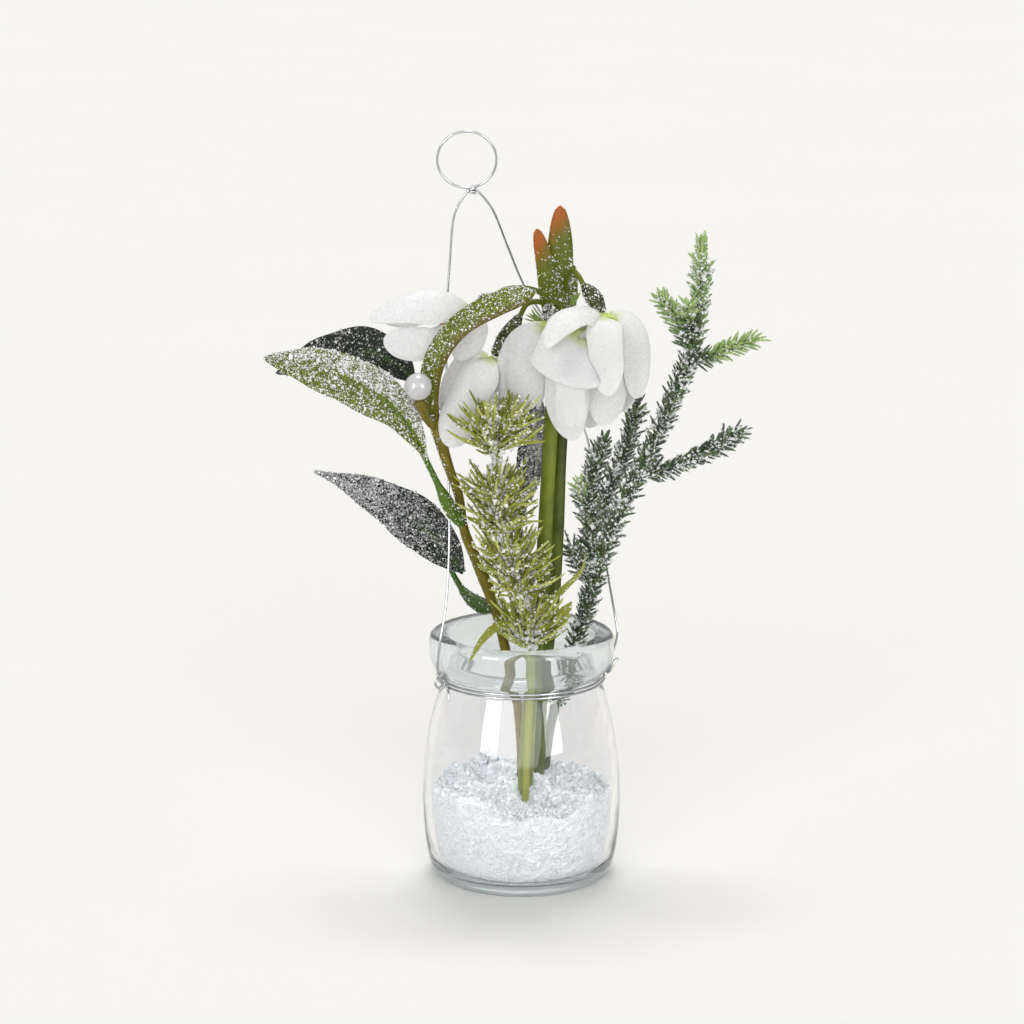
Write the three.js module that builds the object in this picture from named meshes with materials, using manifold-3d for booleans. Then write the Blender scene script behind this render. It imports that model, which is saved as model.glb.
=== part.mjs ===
// A frosted winter arrangement in a small hanging jar, made of pressed glass, wire and artificial
// plants: a stem of four drooping snowdrops, a mistletoe sprig, a soft needle sprig and a fir twig,
// all pushed into a bed of snow crystals.
// Millimetres, +Z up. The origin is the middle of the jar's flat base, and the front faces -Y.
import * as THREE from 'three';
import { mergeVertices } from 'three/addons/utils/BufferGeometryUtils.js';
import Module from 'manifold-3d';

const wasm = await Module();
wasm.setup();
const { Manifold } = wasm;

// Jar
const JAR_HEIGHT = 87;
const BASE_RADIUS = 26.5;
const GROOVE_RADIUS = 27.6;
const GROOVE_HEIGHT = 70.5;
const RIM_RADIUS = 32;
const MOUTH_RADIUS = 25;
const GLASS_FLOOR = 3.4;
const JAR_SEGMENTS = 26;

// Snow crystals
const SNOW_LEVEL = 31;
const SNOW_SEGMENTS = 18;
const STEM_FOOT = 12;

// Wire
const WIRE_RADIUS = 0.55;
const BINDING_RADIUS = 0.45;
const BINDING_HEIGHT = 72;
const BINDING_LOOP = 28.6;
const EYE_LOOP = 1.9;
const EYE_REACH = 30.5;
const LEFT_EYE_ANGLE = THREE.MathUtils.degToRad(204);
const RIGHT_EYE_ANGLE = THREE.MathUtils.degToRad(18);
const HANGING_LOOP = 10.2;
const HANGING_LOOP_LEAN = THREE.MathUtils.degToRad(12);
const HANGING_LOOP_CENTRE = [-18.5, -2, 250.4];

// Fits and sheet thicknesses
const GAP = 0.32;
const PETAL_THICKNESS = 0.6;
const LEAF_THICKNESS = 0.7;

// Needles
const FIR_NEEDLE_LENGTH = 6;
const FIR_NEEDLE_RADIUS = 0.6;
const FIR_NEEDLE_SPACING = 2.3;
const SOFT_NEEDLE_RADIUS = 0.45;
const TUFT_CORE = 2.6;
const NEEDLE_TURNS = [0, 0.3, -0.3, 0.6, -0.6];

const vec = (x, y, z) => new THREE.Vector3(x, y, z);
const points = (list) => list.map(([x, y, z]) => vec(x, y, z));
const route = (list) => new THREE.CatmullRomCurve3(points(list), false, 'centripetal');

// The same draws every time, so each copy of the part is alike.
function seededRandom(seed) {
  let state = seed;
  return () => {
    state = (state * 1664525 + 1013904223) % 4294967296;
    return state / 4294967296;
  };
}

// Closed solids
function geometryFrom(positions, index) {
  const geometry = new THREE.BufferGeometry();
  geometry.setAttribute('position', new THREE.Float32BufferAttribute(positions, 3));
  geometry.setIndex(index);
  return geometry;
}

function solidFrom(geometry) {
  const bare = geometry.clone();
  bare.deleteAttribute('normal');
  bare.deleteAttribute('uv');
  const merged = mergeVertices(bare, 1e-4);
  const index = merged.index.array;
  const triangles = [];
  for (let i = 0; i < index.length; i += 3) {
    const [a, b, c] = [index[i], index[i + 1], index[i + 2]];
    if (a !== b && b !== c && c !== a) {
      triangles.push(a, b, c);
    }
  }
  const make = (triVerts) => new Manifold(new wasm.Mesh({
    numProp: 3,
    vertProperties: new Float32Array(merged.attributes.position.array),
    triVerts: new Uint32Array(triVerts),
  }));
  const solid = make(triangles);
  return solid.volume() > 0 ? solid : make(triangles.reverse());
}

const joined = (solids) => Manifold.union(solids);

// Keeps the largest body of a solid, and drops the scraps that a cut can leave.
function mainBody(solid) {
  const bodies = solid.decompose();
  return bodies.reduce((best, body) => (body.volume() > best.volume() ? body : best));
}

// Rings of points, one after another, closed at both ends.
function loft(rings) {
  const count = rings[0].length;
  const positions = rings.flat().flatMap((p) => [p.x, p.y, p.z]);
  const index = [];
  for (let i = 0; i < rings.length - 1; i += 1) {
    for (let j = 0; j < count; j += 1) {
      const a = i * count + j;
      const b = i * count + ((j + 1) % count);
      index.push(a, b, b + count, a, b + count, a + count);
    }
  }
  const last = (rings.length - 1) * count;
  for (let j = 1; j < count - 1; j += 1) {
    index.push(0, j + 1, j, last, last + j, last + j + 1);
  }
  return solidFrom(geometryFrom(positions, index));
}

// A round rod along a curve, its radius given from one end, 0, to the other, 1.
function rod(curve, radiusAt, steps, sides) {
  const frames = curve.computeFrenetFrames(steps, false);
  const rings = [];
  for (let i = 0; i <= steps; i += 1) {
    const centre = curve.getPointAt(i / steps);
    const radius = radiusAt(i / steps);
    const ring = [];
    for (let j = 0; j < sides; j += 1) {
      const angle = (2 * Math.PI * j) / sides;
      ring.push(centre.clone()
        .addScaledVector(frames.normals[i], radius * Math.cos(angle))
        .addScaledVector(frames.binormals[i], radius * Math.sin(angle)));
    }
    rings.push(ring);
  }
  return loft(rings);
}

// A radius that is read off a few values spread evenly along the rod.
function radiusThrough(values, extra = 0) {
  return (t) => {
    const place = t * (values.length - 1);
    const low = Math.min(Math.floor(place), values.length - 2);
    return THREE.MathUtils.lerp(values[low], values[low + 1], place - low) + extra;
  };
}

const stalk = (shape, extra = 0) => (
  rod(route(shape.route), radiusThrough(shape.radii, extra), shape.steps, shape.sides));

function ball(centre, radius, detail = 8) {
  const geometry = new THREE.SphereGeometry(radius, detail, Math.round(detail * 0.75));
  geometry.translate(...centre);
  return solidFrom(geometry);
}

function wireLoop(centre, radius, wire, turn, segments, sides) {
  const geometry = new THREE.TorusGeometry(radius, wire, sides, segments);
  geometry.applyQuaternion(turn);
  geometry.translate(...centre);
  return solidFrom(geometry);
}

// A sheet of even thickness over a grid of points, split into triangles alike on both faces.
function sheet(rows, thickness) {
  const count = rows[0].length;
  const top = [];
  const bottom = [];
  rows.forEach((row, i) => row.forEach((point, j) => {
    const along = rows[Math.min(i + 1, rows.length - 1)][j].clone().sub(rows[Math.max(i - 1, 0)][j]);
    const across = row[Math.min(j + 1, count - 1)].clone().sub(row[Math.max(j - 1, 0)]);
    const normal = across.cross(along).normalize();
    top.push(point.clone().addScaledVector(normal, thickness / 2));
    bottom.push(point.clone().addScaledVector(normal, -thickness / 2));
  }));
  const under = top.length;
  const index = [];
  for (let i = 0; i < rows.length - 1; i += 1) {
    for (let j = 0; j < count - 1; j += 1) {
      const a = i * count + j;
      const b = a + 1;
      const c = a + count;
      const d = c + 1;
      index.push(a, b, d, a, d, c);
      index.push(under + a, under + d, under + b, under + a, under + c, under + d);
    }
  }
  const wall = (a, b) => index.push(a, under + a, b, b, under + a, under + b);
  for (let j = 0; j < count - 1; j += 1) {
    wall(j, j + 1);
    const end = (rows.length - 1) * count + j;
    wall(end + 1, end);
  }
  for (let i = 0; i < rows.length - 1; i += 1) {
    wall((i + 1) * count, i * count);
    const right = i * count + count - 1;
    wall(right, right + count);
  }
  const positions = [...top, ...bottom].flatMap((p) => [p.x, p.y, p.z]);
  return solidFrom(geometryFrom(positions, index));
}

// A petal or leaf: a sheet along a curve, halfAt wide to each side, with its face towards faceAt
// and its sides raised or dropped by liftAt.
function blade({ curve, steps, across, halfAt, faceAt, liftAt, thickness }) {
  const rows = [];
  for (let i = 0; i <= steps; i += 1) {
    const t = i / steps;
    const centre = curve.getPointAt(t);
    const along = curve.getTangentAt(t);
    const face = faceAt(centre);
    face.addScaledVector(along, -face.dot(along)).normalize();
    const side = new THREE.Vector3().crossVectors(along, face);
    const row = [];
    for (let j = 0; j <= across; j += 1) {
      const u = (2 * j) / across - 1;
      row.push(centre.clone()
        .addScaledVector(side, u * halfAt(t))
        .addScaledVector(face, liftAt(u, t)));
    }
    rows.push(row);
  }
  return sheet(rows, thickness);
}

// Whether a small piece stays clear of its neighbours. Boxes are compared first, then the solids.
function clearOf(piece, neighbours) {
  const box = piece.boundingBox();
  return neighbours.every((neighbour) => {
    const other = neighbour.boundingBox();
    const apart = [0, 1, 2].some((k) => box.max[k] < other.min[k] || box.min[k] > other.max[k]);
    return apart || piece.intersect(neighbour).isEmpty();
  });
}

const group = new THREE.Group();
group.name = 'frosted_snowdrop_jar';

function addPiece(name, solid, finish) {
  const mesh = solid.getMesh();
  const geometry = geometryFrom(Array.from(mesh.vertProperties), Array.from(mesh.triVerts));
  geometry.computeVertexNormals();
  const piece = new THREE.Mesh(geometry, new THREE.MeshStandardMaterial(finish));
  piece.name = name;
  group.add(piece);
}

// Glass jar: one lathe turn, up the outside, over the bead of the rim and down the inside.
const flat = (r, z) => new THREE.Vector2(r, z);

const OUTER_HEEL = [flat(BASE_RADIUS, 0), flat(31.6, 0), flat(33, 9.5)];
const OUTER_BODY = [flat(33, 9.5), flat(35.6, 26), flat(34.4, 50), flat(28.2, 67.6)];
const INNER_BODY = [flat(25.8, 66.6), flat(31.6, 50), flat(33.4, 26), flat(30.2, 10.5)];
const INNER_HEEL = [flat(30.2, 10.5), flat(29.2, GLASS_FLOOR), flat(23, GLASS_FLOOR)];
const BODY_STEPS = 4;

const insideRadii = new THREE.CubicBezierCurve(...INNER_BODY).getPoints(BODY_STEPS);
const insideHeel = new THREE.QuadraticBezierCurve(...INNER_HEEL).getPoints(2);

function jarProfile() {
  const rimUnderside = new THREE.QuadraticBezierCurve(
    flat(GROOVE_RADIUS + 0.2, GROOVE_HEIGHT + 2.5),
    flat(31.4, 75.5),
    flat(RIM_RADIUS, 80),
  );
  const rimShoulder = new THREE.QuadraticBezierCurve(
    flat(RIM_RADIUS, JAR_HEIGHT - 3),
    flat(RIM_RADIUS, JAR_HEIGHT),
    flat(RIM_RADIUS - 2.6, JAR_HEIGHT),
  );
  const mouthEdge = new THREE.QuadraticBezierCurve(
    flat(MOUTH_RADIUS + 2, JAR_HEIGHT),
    flat(MOUTH_RADIUS, JAR_HEIGHT),
    flat(MOUTH_RADIUS, JAR_HEIGHT - 2.5),
  );
  return [
    flat(0, 0),
    ...new THREE.QuadraticBezierCurve(...OUTER_HEEL).getPoints(2),
    ...new THREE.CubicBezierCurve(...OUTER_BODY).getPoints(BODY_STEPS).slice(1),
    flat(GROOVE_RADIUS, GROOVE_HEIGHT),
    ...rimUnderside.getPoints(2),
    ...rimShoulder.getPoints(2),
    ...mouthEdge.getPoints(2),
    flat(MOUTH_RADIUS, GROOVE_HEIGHT + 1),
    ...insideRadii,
    ...insideHeel.slice(1),
    flat(0, GLASS_FLOOR),
  ];
}

function lathe(profile, segments) {
  const geometry = new THREE.LatheGeometry(profile, segments);
  geometry.rotateX(Math.PI / 2);
  return solidFrom(geometry);
}

const jar = lathe(jarProfile(), JAR_SEGMENTS);

// Stems that stand in the crystals
const FRONT_STEM = {
  route: [[1, 0, STEM_FOOT], [1.4, -0.5, 33], [3, -3, 63], [6.5, -3, 99], [8, -3, 123.5], [9.5, -2, 151.5],
    [10.8, 0, 172], [11.8, 2, 189.5]],
  radii: [2.6, 2.6, 2.5, 2.3],
  steps: 12,
  sides: 8,
};
const BACK_STEM = {
  route: [[5, 7, STEM_FOOT], [6.4, 7, 53], [8.8, 7, 78.5], [11, 6.5, 98], [12.3, 5.5, 121.5],
    [13.3, 5.5, 150], [15, 6.2, 170.5], [15.5, 7, 186]],
  radii: [2.4, 2.4, 2.3, 2.1],
  steps: 12,
  sides: 8,
};
const MISTLETOE_STEM = {
  route: [[0, 5.5, STEM_FOOT], [-0.2, 5, 46], [-2, 3, 64], [-5.4, -1, 80], [-9, -4, 96],
    [-15, -6, 112.5], [-19.5, -8, 124.5], [-21.5, -9.5, 137.5], [-24.5, -11, 146.5], [-27, -12, 155],
    [-29.2, -12.5, 163]],
  radii: [1.6, 1.6, 1.7, 1.8, 1.7, 2.1, 1.6, 1.6, 2.3],
  steps: 16,
  sides: 6,
};
const SOFT_STEM = {
  route: [[1, -4.6, STEM_FOOT + 6], [1.9, -5.8, 45], [2.8, -9, 66], [3.2, -13, 82], [2.6, -15.5, 92],
    [-0.5, -18, 106], [-4, -18.5, 116.5], [-6.5, -19.5, 126], [-8, -20, 136], [-8.5, -21, 147],
    [-8.6, -21, 163]],
  radii: [1.2, 1.2, 1.3, 1.3, 1.2, 1.1],
  steps: 16,
  sides: 5,
};
const FIR_STEM = {
  route: [[7, 13, STEM_FOOT], [8, 13, 30], [10.5, 12.5, 50], [15, 12, 66], [18.6, 11.5, 79],
    [24, 10, 97.5], [28, 9, 112], [35.5, 8, 131.5], [44, 7, 149.5], [51.5, 6, 167], [57.5, 5, 183],
    [60.5, 4, 202], [60.5, 3, 220]],
  radii: [1.7, 1.7, 1.6, 1.5, 1.4, 1.2, 0.7],
  steps: 16,
  sides: 5,
};

// Snow crystals: one bed that fills the jar's foot, heaped at the sides and hollowed by the stems.
function snowHeight(x, y) {
  const heaps = 2.2 * Math.sin(x / 7 + 0.8) * Math.cos(y / 8 - 0.4) + 1.1 * Math.sin(x / 3.1 + y / 4.3);
  const hollow = -4.5 * Math.exp(-((x - 4) ** 2 + (y + 8) ** 2) / 70);
  return SNOW_LEVEL + heaps + hollow;
}

function snowBed() {
  const wallLine = [...insideRadii, ...insideHeel.slice(1)].reverse();
  const wallRadius = (z) => {
    const above = wallLine.findIndex((p) => p.y >= z);
    const [low, high] = [wallLine[above - 1], wallLine[above]];
    return THREE.MathUtils.mapLinear(z, low.y, high.y, low.x, high.x) - GAP;
  };
  const rings = [];
  const ringAt = (radiusAt, heightAt) => {
    const ring = [];
    for (let j = 0; j < SNOW_SEGMENTS; j += 1) {
      const angle = (2 * Math.PI * j) / SNOW_SEGMENTS;
      const radius = radiusAt(angle);
      const [x, y] = [radius * Math.cos(angle), radius * Math.sin(angle)];
      ring.push(vec(x, y, heightAt(x, y)));
    }
    rings.push(ring);
  };
  const foot = GLASS_FLOOR + GAP;
  ringAt(() => 22.6, () => foot);
  [7.5, 13, 21].forEach((z) => ringAt(() => wallRadius(z), () => z));
  const edge = wallRadius(SNOW_LEVEL - 2) - 0.4;
  [1, 0.84, 0.64, 0.42, 0.2].forEach((share) => {
    ringAt(() => edge * share, (x, y) => snowHeight(x, y) - (share === 1 ? 1.6 : 0));
  });
  return loft(rings);
}

const stemsInSnow = [FRONT_STEM, BACK_STEM, MISTLETOE_STEM, SOFT_STEM, FIR_STEM];
const holeFor = (stem) => {
  const [foot] = stem.route;
  const deeper = [foot[0], foot[1], foot[2] - GAP];
  const [radius] = stem.radii;
  const shape = { route: [deeper, ...stem.route.slice(1, 4)], radii: [radius, radius], steps: 8, sides: 8 };
  return stalk(shape, GAP + 0.1);
};
const snow = mainBody(snowBed().subtract(joined(stemsInSnow.map(holeFor))));

// Binding wire: two turns round the groove under the rim, an eye on each side and twisted ends.
const onBinding = (angle, radius, height = BINDING_HEIGHT) => (
  [radius * Math.cos(angle), radius * Math.sin(angle), height]);

function bindingEye(angle) {
  const upright = new THREE.Quaternion().setFromAxisAngle(vec(0, 0, 1), angle)
    .multiply(new THREE.Quaternion().setFromAxisAngle(vec(1, 0, 0), Math.PI / 2));
  return wireLoop(onBinding(angle, EYE_REACH), EYE_LOOP, BINDING_RADIUS, upright, 9, 4);
}

function bindingWire() {
  const level = new THREE.Quaternion();
  const twist = [];
  for (let i = 0; i <= 6; i += 1) {
    const along = i / 6;
    twist.push([28.6 + 4.6 * along, -1.5 - 0.5 * along + 0.5 * Math.sin(1.4 * i),
      71.4 + 6.4 * along + 0.5 * Math.cos(1.4 * i)]);
  }
  const tail = [onBinding(LEFT_EYE_ANGLE + 0.06, 28.8, 71.4), onBinding(LEFT_EYE_ANGLE + 0.16, 29.8, 69.3),
    onBinding(LEFT_EYE_ANGLE + 0.18, 30.2, 66.8)];
  return joined([
    wireLoop([0, 0, BINDING_HEIGHT], BINDING_LOOP, BINDING_RADIUS, level, 24, 4),
    wireLoop([0, 0, BINDING_HEIGHT - 1.3], BINDING_LOOP, BINDING_RADIUS, level, 24, 3),
    bindingEye(LEFT_EYE_ANGLE),
    bindingEye(RIGHT_EYE_ANGLE),
    rod(route(twist), () => 0.7, 6, 4),
    rod(route(tail), () => BINDING_RADIUS, 3, 3),
  ]);
}
const binding = bindingWire();

// Hanger: one wire hooked through both eyes, twisted over the flowers and closed in a hanging loop.
const LEFT_LEG = [[-27.9, -17.6, 87], [-25.8, -14, 100], [-24.7, -7.5, 122], [-25.2, -1.5, 150],
  [-25.6, 2.2, 178], [-25.4, 3, 200], [-24.4, 2.4, 215], [-22, 1.2, 229], [-18, 0.2, 239.5]];
const RIGHT_LEG = [[33.2, 4.6, 84.5], [32.6, 6.2, 90], [30, 15, 104], [27.5, 24, 121], [24, 29, 145],
  [17.5, 30, 166], [11, 26, 186], [3, 17.5, 203], [-7.5, 6.5, 227.5], [-15.2, 0.6, 238.5]];
const TWIST_TOP = [-16.6, 0, 241.2];

// The hook passes through the middle of the eye and turns up on both sides of it.
function hookThrough(angle, side) {
  const at = (radius, height, turn) => onBinding(angle + side * turn, radius, height);
  return [at(EYE_REACH + 0.6, 74.9, -0.052), at(EYE_REACH + 0.1, 73.3, -0.046), at(EYE_REACH, 72.2, -0.02),
    at(EYE_REACH, 72.2, 0.02), at(EYE_REACH + 0.1, 73.3, 0.046), at(EYE_REACH + 1.7, 76, 0.055)];
}

function hanger() {
  const leg = (hook, list, steps) => rod(route([...hook, ...list, TWIST_TOP]), () => WIRE_RADIUS, steps, 4);
  const wrap = [];
  for (let i = 0; i <= 12; i += 1) {
    const angle = (i / 12) * 4 * Math.PI;
    wrap.push([TWIST_TOP[0] + 1.05 * Math.cos(angle), 1.05 * Math.sin(angle), 238.6 + 0.17 * i]);
  }
  const leaning = new THREE.Quaternion().setFromAxisAngle(vec(1, 0, 0), Math.PI / 2 + HANGING_LOOP_LEAN);
  return joined([
    leg(hookThrough(LEFT_EYE_ANGLE, 1), LEFT_LEG, 24),
    leg(hookThrough(RIGHT_EYE_ANGLE, -1), RIGHT_LEG, 26),
    rod(route(wrap), () => WIRE_RADIUS, 12, 4),
    wireLoop(HANGING_LOOP_CENTRE, HANGING_LOOP, WIRE_RADIUS, leaning, 24, 4),
  ]);
}
const hangerWire = hanger();

// Snowdrop stems, and the green sheath over them with its leaf tips, flower stalks and seed cases.
const frontStem = stalk(FRONT_STEM);
const backStem = stalk(BACK_STEM);

const SHEATH_SEAT = 0.7;
const SHEATH_FRONT = {
  route: [[11.8, 2, 189.5 + SHEATH_SEAT], [12.3, 2.3, 197], [13, 3, 206]],
  radii: [3, 3.2, 2.4],
  steps: 4,
  sides: 8,
};
const SHEATH_BACK = {
  route: [[15.5, 7, 186 + SHEATH_SEAT], [15, 6, 193], [13.8, 4, 201]],
  radii: [2.5, 2.6, 2.2],
  steps: 4,
  sides: 8,
};
const SHEATH_TIPS = [
  { route: [[12, 2, 197], [12.6, 1.2, 208], [13.1, 0.8, 220], [13, 1.2, 234]], width: 9.4, widest: 0.5 },
  { route: [[10.4, 0.5, 195], [9.4, -0.6, 204], [8, -1.4, 215], [5, -2, 226.5]], width: 6.6, widest: 0.4 },
  { route: [[15, 5.6, 195], [16.2, 4.8, 203], [17.2, 4.4, 213.5]], width: 5.6, widest: 0.5 },
];

function sheathTip({ route: list, width, widest }) {
  return blade({
    curve: route(list),
    steps: 5,
    across: 2,
    halfAt: (t) => {
      const rise = Math.min(0.62 + (0.38 * t) / widest, 1);
      return (width / 2) * rise * Math.sqrt(1 - 0.988 * t ** 3.2);
    },
    faceAt: () => vec(0.1, -1, 0.1),
    liftAt: (u, t) => -0.5 * (width / 2) * u * u * (1 - 0.6 * t),
    thickness: 0.9,
  });
}

// Blooms: each hangs from a neck, with a stalk and seed case above it and its petals round a middle.
const BLOOMS = {
  a: {
    neck: [27.5, -18, 199.5],
    caseSize: 1,
    middle: [24, -19, 181],
    stalk: [[14.4, 3.2, 203], [15.2, -1, 210], [17, -7, 213.6], [19.2, -12, 212.2], [20.6, -14, 209.6]],
    seedCase: [[20.6, -14, 209.6], [24, -16, 205.8], [26.6, -17.5, 201.6]],
    petals: [
      { spine: [[27.6, -19.2, 200.2], [26.3, -31, 200.4], [28, -32, 187.7], [28.6, -28, 174.9]],
        width: 11.8, face: [-0.05, -1, 0.1], cup: 0.22, claw: 0.55, shoulder: 0.28 },
      { spine: [[28.8, -18, 200], [37.6, -22, 199.4], [41.4, -20, 186], [38.4, -17, 172]],
        width: 14, face: [0.6, -0.8, 0.1], blunt: 0.5 },
      { spine: [[28, -17.6, 199.9], [22, -24, 204.5], [10.5, -30, 204], [8.2, -30, 191.5]],
        width: 13.5, face: [-0.3, -0.7, 0.7], cup: 0.36, blunt: 0.45, shoulder: 0.3 },
      { spine: [[26, -18.4, 198.2], [20, -21, 195], [16.4, -30, 193.5], [12.2, -28.5, 179.4]],
        width: 25, face: [-0.15, -0.9, 0.4], cup: 0.24, blunt: 0.84, claw: 0.1, shoulder: 0.62 },
      { spine: [[26.3, -18.6, 198.2], [13, -27, 192], [12.5, -26, 172], [17.6, -21, 158.6]],
        width: 15.5, face: [-0.2, -1, -0.1], blunt: 0.55, claw: 0.12, shoulder: 0.5 },
      { spine: [[27.4, -19.6, 198.2], [30, -23.5, 187.5], [30, -22, 173.4], [26.8, -19, 163]],
        width: 14, face: [0.25, -1, 0], blunt: 0.55, claw: 0.12, shoulder: 0.5 },
      { spine: [[26.2, -19, 198], [15, -31, 190], [14.6, -29, 174.4], [17.2, -25, 163.6]],
        width: 10.5, face: [-0.1, -1, 0], cup: 0.16, blunt: 0.78, claw: 0.12, shoulder: 0.55 },
      { spine: [[26.9, -16.8, 198.6], [24, -4, 189], [22.5, -6, 174], [23, -12.5, 161]],
        width: 16, face: [-0.1, 1, 0] },
      { spine: [[28.5, -16.8, 198.9], [38, -8, 190], [37, -8, 177], [33, -12.5, 166.5]],
        width: 15.5, face: [0.7, 0.7, 0] },
    ],
  },
  b: {
    neck: [7.6, -8, 195.4],
    caseSize: 0.6,
    middle: [1.5, -10.5, 180],
    stalk: [[12.6, 1.2, 199], [11, -3, 202.4], [9.6, -6.4, 202]],
    seedCase: [[9.6, -6.4, 202], [8.6, -7.4, 199.6], [7.9, -7.9, 197.2]],
    petals: [
      { spine: [[6.3, -8.6, 195], [-3.2, -13.8, 194.5], [-6.4, -14.6, 178.5], [-5.4, -10, 164.6]],
        width: 9.8, face: [-0.35, -0.95, 0.1] },
      { spine: [[8, -9, 194.6], [0.4, -17, 194.5], [-0.4, -18, 180.1], [1.2, -15, 167.3]],
        width: 15, face: [-0.25, -0.97, 0.1] },
      { spine: [[7.2, -6.8, 194.6], [4, 0, 188], [3, -1, 178], [1, -5, 168.5]],
        width: 9, face: [-0.3, 1, 0] },
      { spine: [[8.1, -8.6, 194.4], [11, -10, 184], [8.5, -11, 173], [5.5, -10.5, 167]],
        width: 12.5, face: [1, -0.2, 0] },
    ],
  },
  c: {
    neck: [-10.5, -7, 183],
    caseSize: 1,
    middle: [-17, -7.5, 170],
    stalk: [[10.5, 1, 199], [6, -1.5, 202.2], [1.8, -2.6, 201.6], [-0.8, -3.8, 197.4]],
    seedCase: [[-0.8, -3.8, 197.4], [-5, -5.6, 191], [-9, -6.6, 185.4]],
    petals: [
      { spine: [[-11, -8.2, 184], [-12.2, -18, 184], [-20.7, -19.5, 169.9], [-24.2, -17, 155.2]],
        width: 13.6, face: [-0.1, -1, 0.25], cup: 0.28, blunt: 0.72, claw: 0.35 },
      { spine: [[-11.5, -7.6, 184], [-18.8, -10.5, 187], [-24, -12.5, 176], [-25, -11.8, 163]],
        width: 10.5, face: [-0.3, -0.9, 0.3], cup: 0.2 },
      { spine: [[-9.6, -7, 183.6], [-7, -7.4, 179.5], [-7.6, -7, 170.1], [-10.8, -6.4, 160.5]],
        width: 10.5, face: [0.2, -1, 0.1] },
      { spine: [[-11, -5.8, 182.6], [-16, 0.5, 178], [-19, 0, 168], [-21.5, -3.5, 160.5]],
        width: 13.5, face: [-0.2, 1, 0.1] },
    ],
  },
  d: {
    neck: [-16.5, -8.5, 200.5],
    caseSize: 0.9,
    middle: [-29, -9.5, 195.5],
    stalk: [[10.6, 2.4, 202.6], [3, 5, 205.6], [-5, 2.5, 206], [-10, -3, 204.2]],
    seedCase: [[-10, -3, 204.2], [-12.4, -5.4, 202.8], [-14.8, -7.4, 201.4]],
    petals: [
      { spine: [[-16.3, -9, 200.2], [-22.5, -16, 205.2], [-37.2, -18, 205.3], [-51, -14, 198.2]],
        width: 14.5, face: [0, -0.8, 0.6], cup: 0.34, blunt: 0.3 },
      { spine: [[-16.9, -9, 199.2], [-24, -17, 194.5], [-35.3, -18, 190.5], [-46.3, -13, 191.4]],
        width: 14, face: [0, -1, 0.1], cup: 0.2, blunt: 0.45 },
      { spine: [[-17, -8.6, 199], [-14, -11, 195.5], [-17.4, -12.6, 188.8], [-22.8, -11.5, 185]],
        width: 10.5, face: [0.2, -1, 0.1] },
      { spine: [[-17, -8.2, 199], [-22, -11, 191], [-33.5, -12, 186.4], [-44, -9, 188.2]],
        width: 10, face: [0, -1, -0.1], blunt: 0.5 },
      { spine: [[-17.5, -7, 200], [-26, -2.5, 203], [-38, -2, 202], [-46, -6, 196]],
        width: 15, face: [0, 0.7, 0.7] },
    ],
  },
};
const NECK_RADIUS = 2.2;
const SEED_CASE_RADII = [1.3, 2.6, 2.9, 1.7];
const seedCaseOf = (bloom, extra = 0) => {
  const radii = SEED_CASE_RADII.map((radius) => radius * bloom.caseSize);
  return stalk({ route: bloom.seedCase, radii, steps: 3, sides: 6 }, extra);
};
const stalkOf = (bloom, extra = 0) => (
  stalk({ route: bloom.stalk, radii: [0.9, 0.85], steps: 5, sides: 4 }, extra));
const flowerStalks = (extra = 0) => (
  Object.values(BLOOMS).flatMap((bloom) => [stalkOf(bloom, extra), seedCaseOf(bloom, extra)]));

function sheath() {
  const tips = SHEATH_TIPS.map(sheathTip);
  return joined([stalk(SHEATH_FRONT), stalk(SHEATH_BACK), ...tips, ...flowerStalks()]);
}
const snowdropSheath = sheath();

// A petal widens from a narrow claw in the neck, and its sides curve back from its face.
function petal({ spine, width, face, cup = 0.28, blunt = 0.6, claw = 0.25, shoulder = 0.38 }) {
  const shareAt = (t) => {
    const rise = THREE.MathUtils.lerp(claw, 1, Math.sin((Math.PI / 2) * Math.min(t / shoulder, 1)));
    const rounding = Math.max((t - blunt) / (1 - blunt), 0);
    return rise * Math.sqrt(1 - 0.9 * rounding ** 2.2);
  };
  return blade({
    curve: new THREE.CubicBezierCurve3(...points(spine)),
    steps: 5,
    across: 3,
    halfAt: (t) => (width / 2) * shareAt(t),
    faceAt: () => vec(...face),
    liftAt: (u, t) => -cup * (width / 2) * (u * shareAt(t)) ** 2,
    thickness: PETAL_THICKNESS,
  });
}

// Stamens: a short yellow cone below each neck, its knobbed end towards the bloom's mouth.
const STAMEN_LENGTH = 9;
const STAMEN_RADII = [0.6, 0.6, 1.7, 1.9, 0.6];

function stamensOf(bloom, extra = 0) {
  const [neck, middle] = points([bloom.neck, bloom.middle]);
  const axis = middle.clone().sub(neck).normalize();
  const foot = neck.clone().addScaledVector(axis, NECK_RADIUS + GAP + extra * -1.5);
  const line = new THREE.LineCurve3(foot, foot.clone().addScaledVector(axis, STAMEN_LENGTH + extra * 3));
  return rod(line, radiusThrough(STAMEN_RADII, extra), 4, 5);
}

// The petals lie clear of every flower stalk and seed case, and of their own stamens.
const stalkRoom = joined(flowerStalks(GAP));

function petalsOf(bloom) {
  const core = ball(bloom.neck, NECK_RADIUS, 6);
  const whorl = joined([core, ...bloom.petals.map(petal)]);
  return mainBody(whorl.subtract(joined([stalkRoom, stamensOf(bloom, GAP)])));
}

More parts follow.
